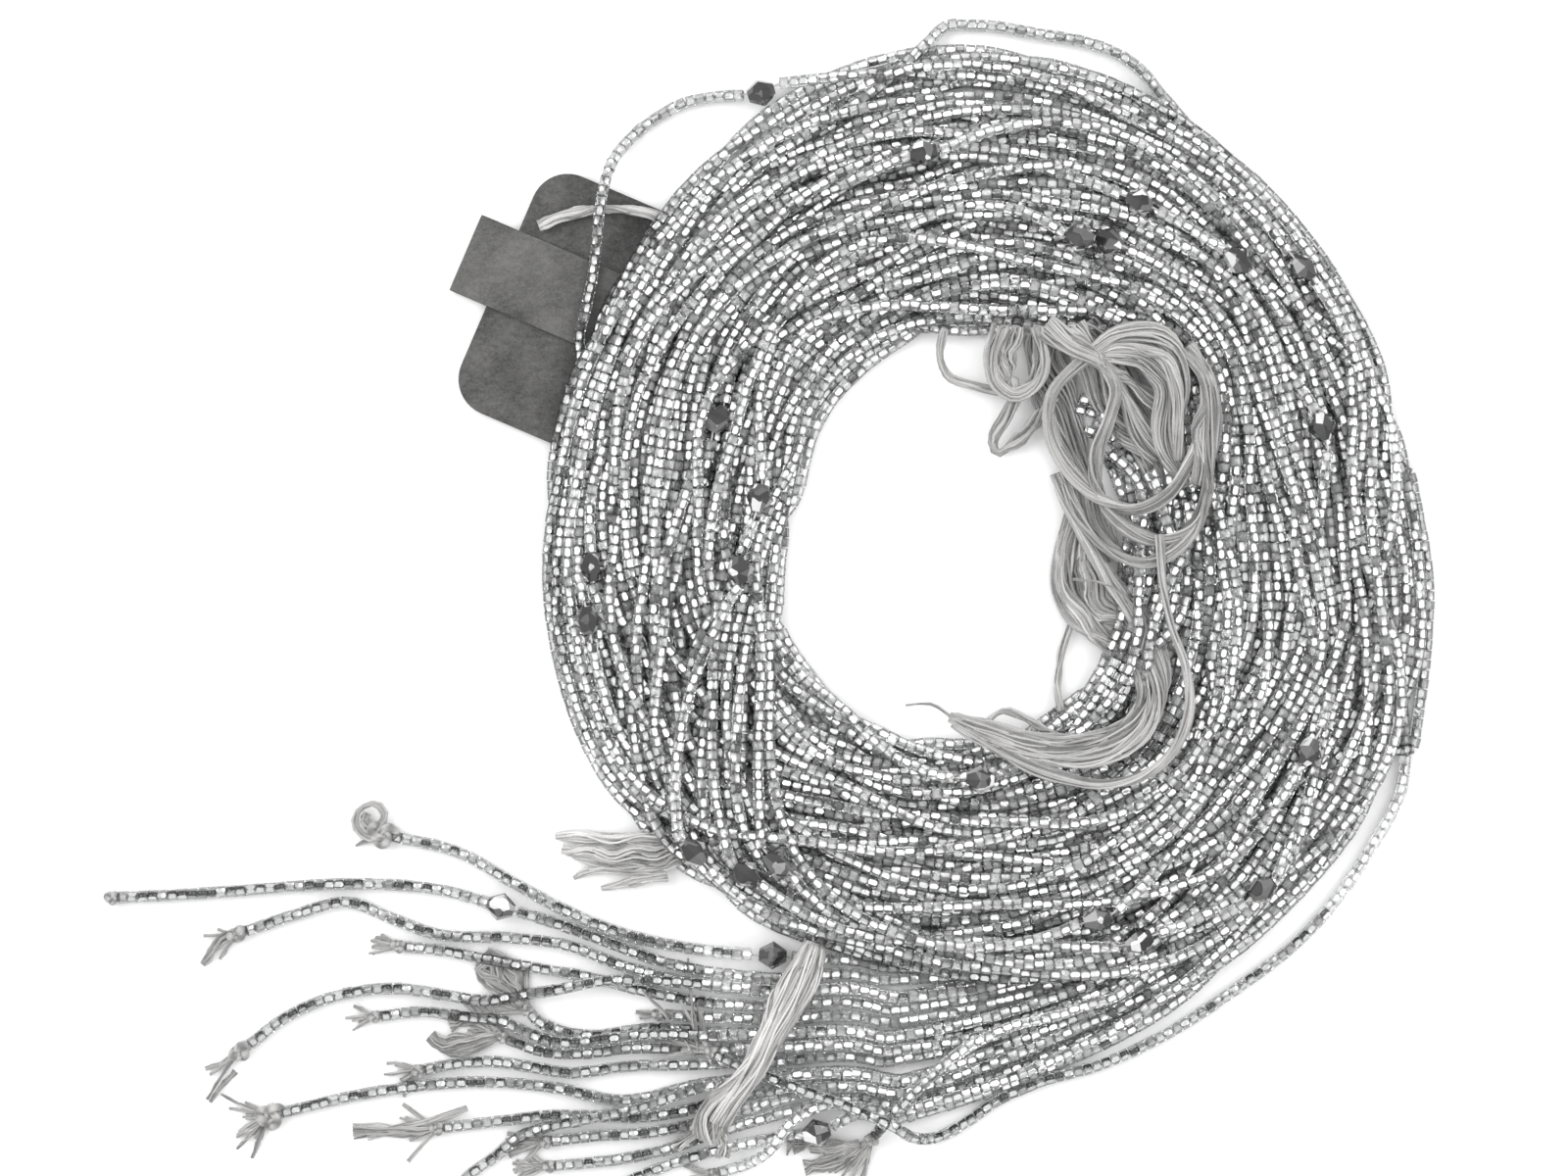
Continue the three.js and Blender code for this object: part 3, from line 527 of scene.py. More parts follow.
def pinStrays(pinned, pin):
    # The strays and the first step of each strand keep their routes.
    for strand, route in strays.values():
        number = names.index(strand)
        degrees, radius, level = polar(smoothLine(route, 1.0))
        degrees = degrees + 360 * ((degrees[0] < 250) or (strand == "outermost")) - 360 * (degrees > 500)
        degrees = np.unwrap(degrees, period=360)
        within = (angles >= degrees[0]) & (angles <= degrees[-1])
        pinned[number, within] = True
        pin[number, within, 0] = np.interp(angles[within], degrees, radius)
        pin[number, within, 1] = np.interp(angles[within], degrees, level)
    rows = np.arange(count)
    pinned[rows, firstStep] = True
    pin[rows, firstStep, 0] = pin[rows, firstStep, 0] + (startRadius - pin[rows, firstStep, 0]) * 0.85
    pin[rows, firstStep, 1] = startLevel


def settle(place, target, girth, pinned, pin, rounds):
    # Each round: ease each strand along its length, press it down and towards its target, push apart
    # lanes of a slice that are nearer than their two radii, and lift what is under the ground.
    alive = slices(live)
    pairs = alive[:, :, None] & alive[:, None] & ~np.eye(alive.shape[1], dtype=bool)
    need = slices(girth)
    need = (need[:, :, None] + need[:, None]).astype(np.float32)
    inner = live[:, 1:-1] & live[:, :-2] & live[:, 2:]
    for turn in range(rounds):
        cooling = 1 - 0.6 * turn / rounds
        middle = 0.5 * (place[:, :-2] + place[:, 2:]) - place[:, 1:-1]
        place[:, 1:-1] += np.where(inner[..., None], 0.35 * middle, 0)
        place[..., 0] += 0.02 * (target - place[..., 0])
        place[..., 1] -= 0.07 * cooling
        lanes = slices(place).astype(np.float32)
        apart = lanes[:, :, None] - lanes[:, None]
        distance = np.sqrt((apart ** 2).sum(-1)) + 1e-4
        push = np.where(pairs & (distance < need), need / distance - 1, 0)
        place += unslices((0.3 * push[..., None] * apart).sum(2))
        place[..., 1] = np.maximum(place[..., 1], girth + ground(place[..., 0], angles))
        place[pinned] = pin[pinned]
    return place


target, level = layOut()
place = np.stack([target, level], -1)
pinned, pin = np.zeros((count, steps), bool), place.copy()
pinStrays(pinned, pin)
girth = np.full((count, steps), 1.02)
place = settle(place, target, girth, pinned, pin, winding["rounds"][0])
print("coil settled once")

# Crystals in the coil: those that turn are nodes of the part, the others are threaded here.
# angle, share of the width as a bundle from 0 to 3, node or None
coilCrystals = [
    (100.5, 2, "top_left"), (75, 1, "top_inner"), (50, 2, "upper_right"), (20.5, 2, "right"),
    (-33, 2, "lower_right"), (-52, 3, "lower_outer"), (266, 0, "bottom_inner"), (190, 3, "left_outer"),
    (66.4, 2, None), (70.5, 1, None), (43, 3, None), (-70, 3, None), (183.6, 3, None), (168.4, 0, None),
    (184, 0, None), (225.3, 3, None), (232, 3, None), (155, 1, None), (236, 2.5, None), (-75, 2.6, None),
]
bundleHole = [38, 38, 45, 40.5, 37.4, 40, 42, 37, 37.7, 40.5, 37.7, 36.4, 35, 37, 39, 38.5]
bundleOuter = [72.3, 73.5, 76, 80.5, 87.5, 87.5, 81, 78.5, 75.3, 78, 80, 73.6, 74.5, 78, 80, 78]
threaded = []
for degrees, bundle, node in coilCrystals:
    step = int(round((degrees - winding["first"]) / winding["step"])) % perTurn
    inner, outer = (ringRadius(radii, np.array(float(degrees))) for radii in (bundleHole, bundleOuter))
    radius = inner + (bundle + 0.5) / 4 * (outer - inner)
    lanes = [(number, step + perTurn * turn) for number in range(count) for turn in range(winding["turns"])
             if step + perTurn * turn < steps - 1 and live[number, step + perTurn * turn]
             and not pinned[number, step + perTurn * turn] and live[number, step + perTurn * turn - 1]]
    far = [abs(place[lane][0] - radius) - (1.2 if node else 1.0) * place[lane][1] for lane in lanes]
    number, step = lanes[int(np.argmin(far))]
    around = slice(step - 1, step + 2)
    pinned[number, around] = True
    pin[number, around, 0] = radius if node else place[number, step, 0]
    pin[number, around, 1] = 9.7 if node else place[number, step, 1] + 1.1
    girth[number, around] = (1.5, 2.4, 1.5)
    threaded.append((number, step, node))
place = settle(place, target, girth, pinned, pin, winding["rounds"][1])
for turn in range(3):
    middle = 0.5 * (place[:, :-2] + place[:, 2:]) - place[:, 1:-1]
    keep = live[:, :-2] & live[:, 2:] & ~pinned[:, 1:-1]
    place[:, 1:-1] += np.where(keep[..., None], 0.5 * middle, 0)
print("coil settled")


# Below bright a bead's lining is plain silver, below soft it is dimmed silver, and above soft it gets a
# painted dark-reflection core.
bead = {"pitch": 1.72, "length": 1.56, "diameter": 2.1, "sides": 8, "hole": 0.35, "firstAt": 0.9,
        "thread": 0.22, "bright": 0.67, "soft": 0.88, "paintedShadeRun": 28, "joinRun": 150, "misty": 0.25,
        "crystalRoom": 3.2}
# along the bead (half lengths) and out from its axis (radii), from the hole's mouth round the outside
beadProfile = np.array([(-0.88, 0.0), (-1.0, 0.97), (1.0, 0.97), (0.88, 0.0)])


def beadString(middles, directions, random):
    # Every bead is a ring of profile points turned about its axis. The hole is square and silvered.
    number, sides = len(middles), bead["sides"]
    side, up = crossFrame(unit(directions + random.normal(0, 0.045, directions.shape)))
    turn = random.uniform(0, math.pi / 2, (number, 1)) + np.arange(sides) * 2 * math.pi / sides
    half = bead["length"] / 2 * random.normal(1, 0.05, (number, 1, 1, 1))
    wide = bead["diameter"] / 2 * random.normal(1, 0.022, (number, 1, 1, 1))
    square = np.where(np.arange(sides) % 2, bead["hole"] * math.sqrt(2), bead["hole"])
    out = wide * beadProfile[None, :, 1, None, None]
    out = np.where(beadProfile[None, :, 1, None, None] == 0, square[None, None, :, None], out)
    ring = side[:, None] * np.cos(turn)[..., None] + up[:, None] * np.sin(turn)[..., None]
    axis = np.cross(up, side)
    points = (middles[:, None, None] + axis[:, None, None] * half * beadProfile[None, :, 0, None, None]
              + ring[:, None] * out)
    rings = len(beadProfile)
    grid = np.arange(number * rings * sides).reshape(number, rings, sides)
    ahead = np.roll(grid, -1, 1)
    quads = np.stack([grid, np.roll(grid, -1, 2), np.roll(ahead, -1, 2), ahead], -1)[..., ::-1]
    return points.reshape(-1, 3), quads[:, 1], quads[:, [0, 2]].reshape(number, -1, 4), quads[:, 3]


def bicone(middles, directions):
    # The part's crystal: two eight-sided cones base to base, cut flat at the bore.
    profile = np.array([(-2.4, 0.65), (-2.4, 1.05), (0, 2.5), (2.4, 1.05), (2.4, 0.65)])
    side, up = crossFrame(unit(directions))
    turn = np.arange(8) * math.pi / 4
    ring = side[:, None] * np.cos(turn)[:, None] + up[:, None] * np.sin(turn)[:, None]
    axis = np.cross(up, side)
    points = (middles[:, None, None] + axis[:, None, None] * profile[None, :, 0, None, None]
              + ring[:, None] * profile[None, :, 1, None, None])
    grid = np.arange(len(middles) * 5 * 8).reshape(len(middles), 5, 8)
    ahead = np.roll(grid, -1, 1)
    quads = np.stack([grid, np.roll(grid, -1, 2), np.roll(ahead, -1, 2), ahead], -1)[..., ::-1]
    return points.reshape(-1, 3), quads.reshape(-1, 4)


def aroundPoint(line, point):
    return lengthAlong(line)[np.linalg.norm(line - np.asarray(point), axis=1).argmin()]


extraCrystals, strandLines = [], {}
coilNodes = [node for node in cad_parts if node.startswith(("coil_bundle", "gathered_run"))]
strayNodes = {strand: f"stray_{name}" for name, (strand, _) in strays.items()}
for number, (name, crystalAt, knot, lead, fray, route) in enumerate(tails):
    mine = live[number]
    radians = np.radians(angles[mine])
    wound = np.stack([place[number, mine, 0] * np.cos(radians), place[number, mine, 0] * np.sin(radians),
                      place[number, mine, 1]], 1)
    line = smoothLine(np.concatenate([np.asarray(route, float), wound]), 0.6)
    reach = lengthAlong(line)
    tailReach = aroundPoint(line, route[-1])
    strandLines[name] = line
    skips = [aroundPoint(line, route[crystalAt])] if crystalAt is not None else []
    if name == "low_knot":
        skips.append(aroundPoint(line, (-40.6, 79.6, crystal)))
    for strand, step, node in threaded:
        if strand == number:
            degrees = math.radians(angles[step])
            middle = (place[strand, step, 0] * math.cos(degrees), place[strand, step, 0] * math.sin(degrees),
                      place[strand, step, 1])
            at = aroundPoint(line, middle)
            skips.append(at)
            if node is None:
                extraCrystals.append((pointsAt(line, [at])[0], pointsAt(line, [at + 1])[0]
                                      - pointsAt(line, [at - 1])[0]))
    random = np.random.default_rng(100 + number)
    at = np.arange(bead["firstAt"], reach[-1] - 1, bead["pitch"])
    at = at + random.normal(0, 0.04, len(at))
    for skip in skips:
        at = at[np.abs(at - skip) > bead["crystalRoom"]]
    middles = pointsAt(line, at)
    directions = pointsAt(line, at + 0.6) - pointsAt(line, at - 0.6)
    points, barrel, ends, lining = beadString(middles, directions, random)
    degrees, radius, _ = polar(middles)
    # Beads on the loose tails and on strays past the coil's outer edge take the greyer glass, a painted
    # shade.
    astray = (radius > ringRadius(winding["outer"], degrees) - 0.6) & (at > tailReach + bead["joinRun"])
    outside = astray | (at < tailReach - bead["paintedShadeRun"])
    misty = (random.random(len(at)) < bead["misty"]) & ~outside
    clear = ~misty & ~outside
    # kind sorts the linings into bright silver, dimmed silver and dark cores; the dimming and the dark cores
    # are painted reflections, clustered along the strand.
    kind = random.random(len(at)) * 0.84 + 0.08 + 0.12 * wander(200 + number, 1, len(at), len(at) // 9)[0]
    kind += 0.1 * wander(240 + number, 1, len(at), len(at) // 40)[0]
    # More painted dark-reflection cores towards the tails' free ends.
    kind += 0.27 * ease(tailReach - 15, tailReach - 50, at)
    bright, dark = kind < bead["bright"], kind >= bead["soft"]
    string, stringWalls, stringCaps = tubes(pointsAt(line, np.arange(0, reach[-1], 4))[None],
                                            bead["thread"], 3)
    base = len(points)
    strandPiece = makePiece(f"strand_{name}", row(np.concatenate([points, string])), [
        *((faces[chosen].reshape(-1, 4), material, smooth)
          for faces, smooth in ((barrel, True), (ends, False)) for chosen,
          material in ((clear, beadClear), (misty, beadMisty), (outside, beadGlassPaintedShade))),
        # A dark-cored bead keeps two opposite hole faces bright silver and paints the other two near-black as
        # a dark reflection.
        (lining[bright].reshape(-1, 4), liningBright, False),
        (lining[dark][:, [3, 4, 7, 0]].reshape(-1, 4), liningBright, False),
        (lining[~bright & ~dark].reshape(-1, 4), liningSoft, False),
        (lining[dark][:, [1, 2, 5, 6]].reshape(-1, 4), liningPaintedDarkReflection, False),
        (stringWalls + base, stringThread, True),
        (stringCaps + base, stringThread, False)])
    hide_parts(f"tail_{name}", *coilNodes, *([strayNodes[name]] if name in strayNodes else []))
print("strands:", len(tails), "lengths in mm:", [int(lengthAlong(line)[-1]) for line in strandLines.values()])

middles, directions = (np.array(values) for values in zip(*extraCrystals))
points, faces = bicone(middles, directions)
makePiece("crystals_threaded", row(points), [(faces, smokyCrystal, False)])
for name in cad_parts:
    if name.startswith("crystal_"):
        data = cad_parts[name].data
        data.materials.clear()
        data.materials.append(smokyCrystal)


thread = {"step": 1.35, "sides": 4, "ply": 0.22}


def lineShade(seed, rows, steps):
    # A random shade for each ply, drifting slowly along it.
    return (np.random.default_rng(seed).uniform(0.15, 0.85, (rows, 1)) + 0.12 * wander(seed, rows, steps, 4))


def plies(routes, seed):
    # Each route is a strand of fine plies: every ply keeps its own place across the strand, widened or
    # narrowed along it, and wanders a little. A route is (points, number of plies, spreads, ply radius).
    shapes, shades = [], []
    for index, (points, number, spreads, radius) in enumerate(routes):
        line = smoothLine(points, thread["step"])
        size = len(line)
        random = np.random.default_rng(seed + index)
        across = random.uniform(-1, 1, (number, 1))
        height = random.uniform(-1, 1, (number, 1)) * np.sqrt(np.maximum(1 - across ** 2, 0.05))
        spread = np.interp(np.linspace(0, 1, size), np.linspace(0, 1, len(spreads)), spreads)
        twist = wander(seed + 50 + index, 1, size, 3)[0] * 0.8 + np.linspace(0, size * 0.05, size)
        flat = across * np.cos(twist) - height * np.sin(twist) * 0.6
        rise = across * np.sin(twist) * 0.45 + height * np.cos(twist) * 0.35
        waves = max(3, size // 7)
        flat = flat * spread + wander(seed + 90 + index, number, size, waves) * (0.08 + 0.07 * spread)
        rise = rise * spread + wander(seed + 130 + index, number, size, waves) * 0.07
        side, up = crossFrame(unit(np.gradient(line, axis=0)))
        lines = line + side * flat[..., None] + up * rise[..., None]
        lines[..., 2] = np.maximum(lines[..., 2], radius + 0.02)
        shapes.append(tubes(lines, radius, thread["sides"]))
        shades.append(np.repeat(lineShade(seed + 170 + index, number, size).ravel(), thread["sides"]))
    return *gather(*shapes), np.concatenate(shades)


def threadPiece(name, routes, seed, material, replaced=()):
    points, groups, shade = plies(routes, seed)
    faces = [(np.concatenate([group[0] for group in groups]), material, True),
             (np.concatenate([group[1] for group in groups]), material, False)]
    piece = makePiece(name, row(points), faces, shade=shade)
    if replaced:
        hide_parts(*replaced)
    return piece


# The tie thread in the hole of the coil. Points, plies, spreads from end to end, ply radius.
ply = thread["ply"]
hankLoops = [
    ([(8.2, 38, 2), (9.6, 31, 1.6), (11.4, 24, 1.2), (13.6, 17, 1), (16, 10.4, 1), (18.6, 4, 1.2),
      (21.6, -1.6, 1.6)],
     64, (3.0, 3.6, 3.8, 3.6, 3.0, 2.6, 1.8), 0.26),
    ([(14.6, 38.6, 3), (18.6, 32.4, 2.4), (22.2, 26, 2), (25.6, 19.4, 2), (28.4, 12.6, 2.2),
      (30.4, 5.6, 3)], 64,
     (4.2, 4.6, 4.6, 4.4, 3.4, 2.2), 0.26),
    ([(17.5, 33.8, 8), (14.8, 32.1, 7), (9.9, 26.7, 5.6), (9.8, 20.2, 5), (12.6, 14.4, 5), (18, 9, 5.6),
      (24.5, 6.9, 6.6), (29.9, 9.4, 7.8), (33.2, 14.8, 9.2), (35.2, 20.6, 9.8), (35.6, 24.5, 10)], 26,
     (0.9, 1.2, 1.2, 1.3, 1.1, 1.1), ply),
    ([(18, 32.7, 8.4), (20.9, 27.3, 7.2), (19.8, 22.4, 6.2), (17.6, 16.4, 5.8), (18, 10.4, 5.6),
      (20.4, 5.8, 5.4),
      (24.5, 2.6, 6), (28.9, 1.4, 7.6), (33.2, 3.4, 9.4), (35.9, 8.6, 10), (36.6, 16.4, 10.4),
      (37.2, 24, 10.8),
      (35.9, 30, 10.6), (33.2, 33.8, 9.6)], 26, (0.9, 1.2, 1.2, 1.1, 1.4, 1.6, 1.3), ply),
    ([(12.4, 11.4, 3.6), (13.6, 7.8, 4), (15.9, 3.6, 4.4), (20.2, -0.6, 5), (25.6, -2.6, 6.2),
      (30.2, -0.9, 8),
      (34.3, 3.2, 9.8), (36.6, 9.6, 10.4)], 18, (0.9, 1.0, 1.0, 1.1), ply),
    ([(-8.9, 37.8, 6), (-9.5, 33.6, 4), (-8.2, 30.3, 2.4), (-3, 28.4, 1.8), (1.4, 27.4, 2.4),
      (4.4, 26.8, 3.4)], 14,
     (0.6, 0.65, 0.6), ply),
    ([(1.0, 38.6, 6.6), (-0.6, 33.4, 4.6), (0.4, 28.8, 3.8), (3.6, 26.6, 4.4), (6.8, 28.2, 5), (8.8, 32.2, 6),
      (7.6, 38.4, 7)], 26, (1.4, 1.2, 0.9, 1.4), ply),
    ([(2.8, 38.6, 6), (2.2, 33, 4), (2.8, 29, 3.2), (4.8, 26.7, 3.4)], 40, (2.5, 2.2, 0.9), ply),
    ([(8.4, 38.4, 6.2), (8.4, 33, 4.2), (7, 29.4, 3.4), (5.2, 26.6, 3.4)], 30, (2.4, 1.6, 0.8), ply),
    ([(4.4, 26.8, 4), (2, 22.8, 2.6), (-0.2, 18.2, 1.6), (0.6, 16.8, 1.2), (2.8, 17.9, 1.2), (5.8, 21, 2.4),
      (8.4, 23.8, 3.2), (10.6, 26.5, 3.6)], 24, (0.9, 1.2, 0.9, 1.3, 1.2), ply),
    ([(8.6, 38.6, 7.4), (12.4, 36, 7.6), (17.3, 33.2, 8.2), (21.5, 27.4, 6.4), (24.6, 21.8, 4.4),
      (28.6, 15.4, 4)],
     40, (2.2, 1.6, 1.0, 2.2, 2.6), ply),
    ([(13.8, 38.6, 7), (15.6, 36, 7.6), (17.8, 33, 8.2), (24, 28.6, 5.4), (28.5, 24.5, 4.2)], 34,
     (1.8, 1.2, 0.9, 2.6), ply),
    ([(16.8, 34, 8), (20.4, 36.4, 8.8), (25.6, 36.6, 9.6), (30, 34, 10.2), (31.6, 28.6, 10), (31.2, 21.6, 9),
      (31.8, 15.4, 7.6)], 64, (0.9, 2.2, 3.0, 2.8, 2.5, 2.1, 1.3), ply),
    ([(16.6, 33.4, 7.6), (20.8, 33.8, 8), (25.8, 33.2, 8.4), (28.9, 29.6, 8.2), (29.2, 23.6, 7),
      (30.2, 16.6, 6),
      (33, 10.6, 6)], 50, (0.9, 2.0, 2.6, 2.4, 2.2, 1.9), ply),
    ([(33.2, 35, 10.2), (36, 29.8, 10.6), (36.2, 24.8, 10.6), (34.8, 20.6, 10.2), (35.4, 15.6, 10),
      (34.6, 11, 9.4)],
     26, (1.2, 1.4, 1.2, 1.4), ply),
]
hankBundle = [
    ([(11.4, 13.4, 2), (12.8, 9.4, 2.4), (15.9, 1.8, 3), (20.2, -5.3, 3.6), (24.5, -11.2, 4.2),
      (27.6, -17.8, 5),
      (28.2, -24.2, 7), (25.6, -29.6, 9.4), (20, -33.6, 11), (12.4, -35, 11), (4.6, -33.8, 9.4),
      (-2, -31.2, 6),
      (-7.8, -29.3, 4)], 74, (1.5, 1.8, 1.6, 1.7, 2.0, 2.6, 3.0, 3.2, 2.9, 2.4, 1.6, 0.6), ply),
    ([(13.6, 6, 2.4), (11.8, -0.6, 1.4), (11.6, -7.4, 1.1), (13.8, -12.3, 1.6), (19.6, -15.8, 2.8),
      (24, -19.4, 4),
      (25.8, -24.8, 6.6), (22.6, -31, 9.8), (16, -35, 11), (8, -34.8, 10.4), (0, -32.4, 7.4),
      (-7, -29.4, 4)], 40,
     (1.2, 1.2, 1.2, 1.4, 1.5, 1.7, 2.2, 2.0, 0.7), ply),
    ([(15.4, 4, 2.2), (14, -2, 1.2), (14.2, -7.8, 0.9), (17, -12.4, 1.5), (22, -16.4, 2.8),
      (25.6, -21.4, 5)], 60,
     (1.6, 3.2, 3.5, 2.6, 1.3), 0.26),
    ([(17, 2, 2.4), (17, -4, 1.5), (18.8, -9, 1.5), (22.4, -13.8, 2.6), (25.8, -18.4, 4.4)], 50,
     (1.4, 2.8, 2.8, 1.5), 0.26),
    ([(28.4, 2.4, 8), (28.9, -6, 8.2), (30.4, -13.4, 8.8), (32.8, -20.6, 9.8), (33.2, -28, 11),
      (30.2, -35, 11.4),
      (24.8, -39.2, 11.5), (18, -40.6, 11.5), (11.4, -39.4, 11.4), (4.6, -37, 10.4), (-1.6, -33.4, 7),
      (-7, -30, 4)], 28, (0.7, 0.7, 0.9, 1.1, 1.1, 0.9), ply),
    ([(13.6, -13, 1), (11.8, -18.6, 0.7), (11.2, -24.4, 0.9), (11.6, -28.4, 2.2)], 10, (0.5, 0.5, 0.5), 0.2),
    ([(-2, -31.8, 5), (-1, -29.8, 4), (1.7, -28.1, 3.2), (5.4, -29.4, 3.6), (9, -31.4, 6), (14, -33.2, 9)],
     12,
     (0.55, 0.6, 0.6), 0.2),
    ([(-7, -29.6, 3.6), (-8.6, -28.4, 1.6), (-10.6, -27.2, 0.6), (-13, -27, 0.3), (-15.3, -27.4, 0.2)], 3,
     (0.25, 0.15, 0.03), 0.16),
    ([(13.6, -5.2, 4.4), (18.4, -6, 5), (23.4, -8.9, 5.6), (26.1, -13, 6), (25.4, -17.8, 6.4)], 2,
     (0.2, 0.25, 0.2), 0.16),
]
threadPiece("tie_hank_upper", hankLoops, 300, cotton, ["tie_thread_hank_upper"])
threadPiece("tie_hank_lower", hankBundle, 400, cotton, ["tie_thread_hank_lower"])
tasselRoute = [(-31.2, -68.6, 4.6), (-32.4, -71.8, 5.6), (-35.4, -77.4, 6.6), (-38.9, -83.3, 7.1),
               (-42.6, -90.2, 8.5), (-45.7, -94.6, 7.4), (-48.6, -98.8, 5.4), (-50.6, -102.2, 3.8)]
threadPiece("tassel", [
    (tasselRoute, 52, (1.8, 3.2, 3.3, 3.0, 2.6, 2.5, 3.2, 4.4), ply),
    ([(x + 0.4, y - 0.6, z + 0.5) for x, y, z in tasselRoute[:-1]], 40,
     (1.6, 2.8, 2.9, 2.5, 2.1, 2.1, 2.8), ply),
    ([(-44.4, -92.4, 8), (-47.6, -97, 6), (-51.8, -101.4, 3), (-55.4, -104.6, 1.4)], 12, (0.6, 1.2, 1.6),
     0.18),
    ([(-44.8, -93, 8), (-46.6, -97.6, 6.6), (-47.4, -102.4, 4.4), (-47, -106, 3)], 12, (0.6, 1.1, 1.5), 0.18),
], 500, looseCotton, ["tie_thread_tassel"])
threadPiece("side_thread", [
    ([(-54.6, -53.4, 2.2), (-60.4, -54, 1.8), (-66, -53.9, 1.4), (-71, -53.4, 1.1), (-75.4, -52.4, 0.8)], 36,
     (2.2, 2.5, 2.1, 1.6, 1.0), ply),
    ([(-56, -50.8, 2), (-62, -51, 1.6), (-68, -50.6, 1.2), (-73, -50.2, 0.8), (-76.6, -50.2, 0.5)], 24,
     (1.4, 1.4, 1.2, 1.0, 0.6), ply),
    ([(-58, -55.6, 1.8), (-63, -56, 1.4), (-68, -56, 1), (-71.4, -56.6, 0.6), (-73.4, -57.6, 0.3)], 12,
     (1.0, 0.9, 0.6, 0.3), 0.18),
    ([(-57, -57, 1.6), (-61, -57.6, 1.2), (-65, -58.6, 0.9), (-68.6, -59.4, 0.5)], 10,
     (0.9, 0.9, 0.7, 0.3), 0.18),
], 600, looseCotton, ["tie_thread_side"])
print("tie threads made")


def knotLine(middle, back, radii, thick, steps=72):
    # An overhand knot: the trefoil curve, squashed to the knot's size less half the thread's thickness.
    t = np.linspace(0, 2 * math.pi, steps)
    side = unit(np.cross(back, (0, 0, 1.0)))
    first, second = (np.sin(t) + 2 * np.sin(2 * t)) / 3, (np.cos(t) - 2 * np.cos(2 * t)) / 3
    long, wide, tall = (max(radius - thick, 0.3) for radius in radii)
    return (middle + first[:, None] * back * long + second[:, None] * side * wide
            + (np.sin(3 * t) * tall)[:, None] * np.array([0, 0, 1.0]))


knotShapes, fraySet = [], []
for number, (name, crystalAt, knot, lead, fray, route) in enumerate(tails):
    if knot is None:
        continue
    line = strandLines[name]
    start = line[0]
    back = unit(line[0] - line[3])
    middle = start + back * lead
    middle[2] = max(middle[2], knot[2])
    thick = min(0.34 * max(knot), 0.8)
    knotShapes.append(tubes(knotLine(middle, back, knot, thick)[None], thick, 6))
    knotShapes.append(tubes(knotLine(middle + (0, 0, 0.15), unit(back + (0.5, -0.4, 0)),
    np.array(knot) * 0.82,
                                     thick * 0.6)[None], thick * 0.6, 6))
    knotShapes.append(tubes(np.linspace(start - back * 0.5, middle, 6)[None], 0.6, 6))
    many, length, spread = fray
    random = np.random.default_rng(700 + number)
    for loose in range(many):
        lean = spread * (2 * (loose + 0.5) / many - 1) + random.normal(0, 0.12)
        bend = random.normal(0, 0.25)
        reach = length * random.uniform(0.55, 1.1)
        side = unit(np.cross(back, (0, 0, 1.0)))
        t = np.linspace(0, 1, 5)[:, None]
        points = (middle + back * reach * t * math.cos(lean)
                  + side * reach * (t * math.sin(lean) + bend * t * t * 0.5)
                  + np.array([0, 0, 1.0]) * (0.35 * np.sin(3 * t) * random.uniform(0, 1.4)))
        points[:, 2] = np.interp(t[:, 0], (0, 0.45, 1), (middle[2], 0.5 + (middle[2] > 3) * 2.2, 0.2
                                                      + (middle[2] > 3) * 2.2))
        fraySet.append((points, 4 if length > 3 else 2, (0.22, 0.3, 0.35, 0.2), 0.17))
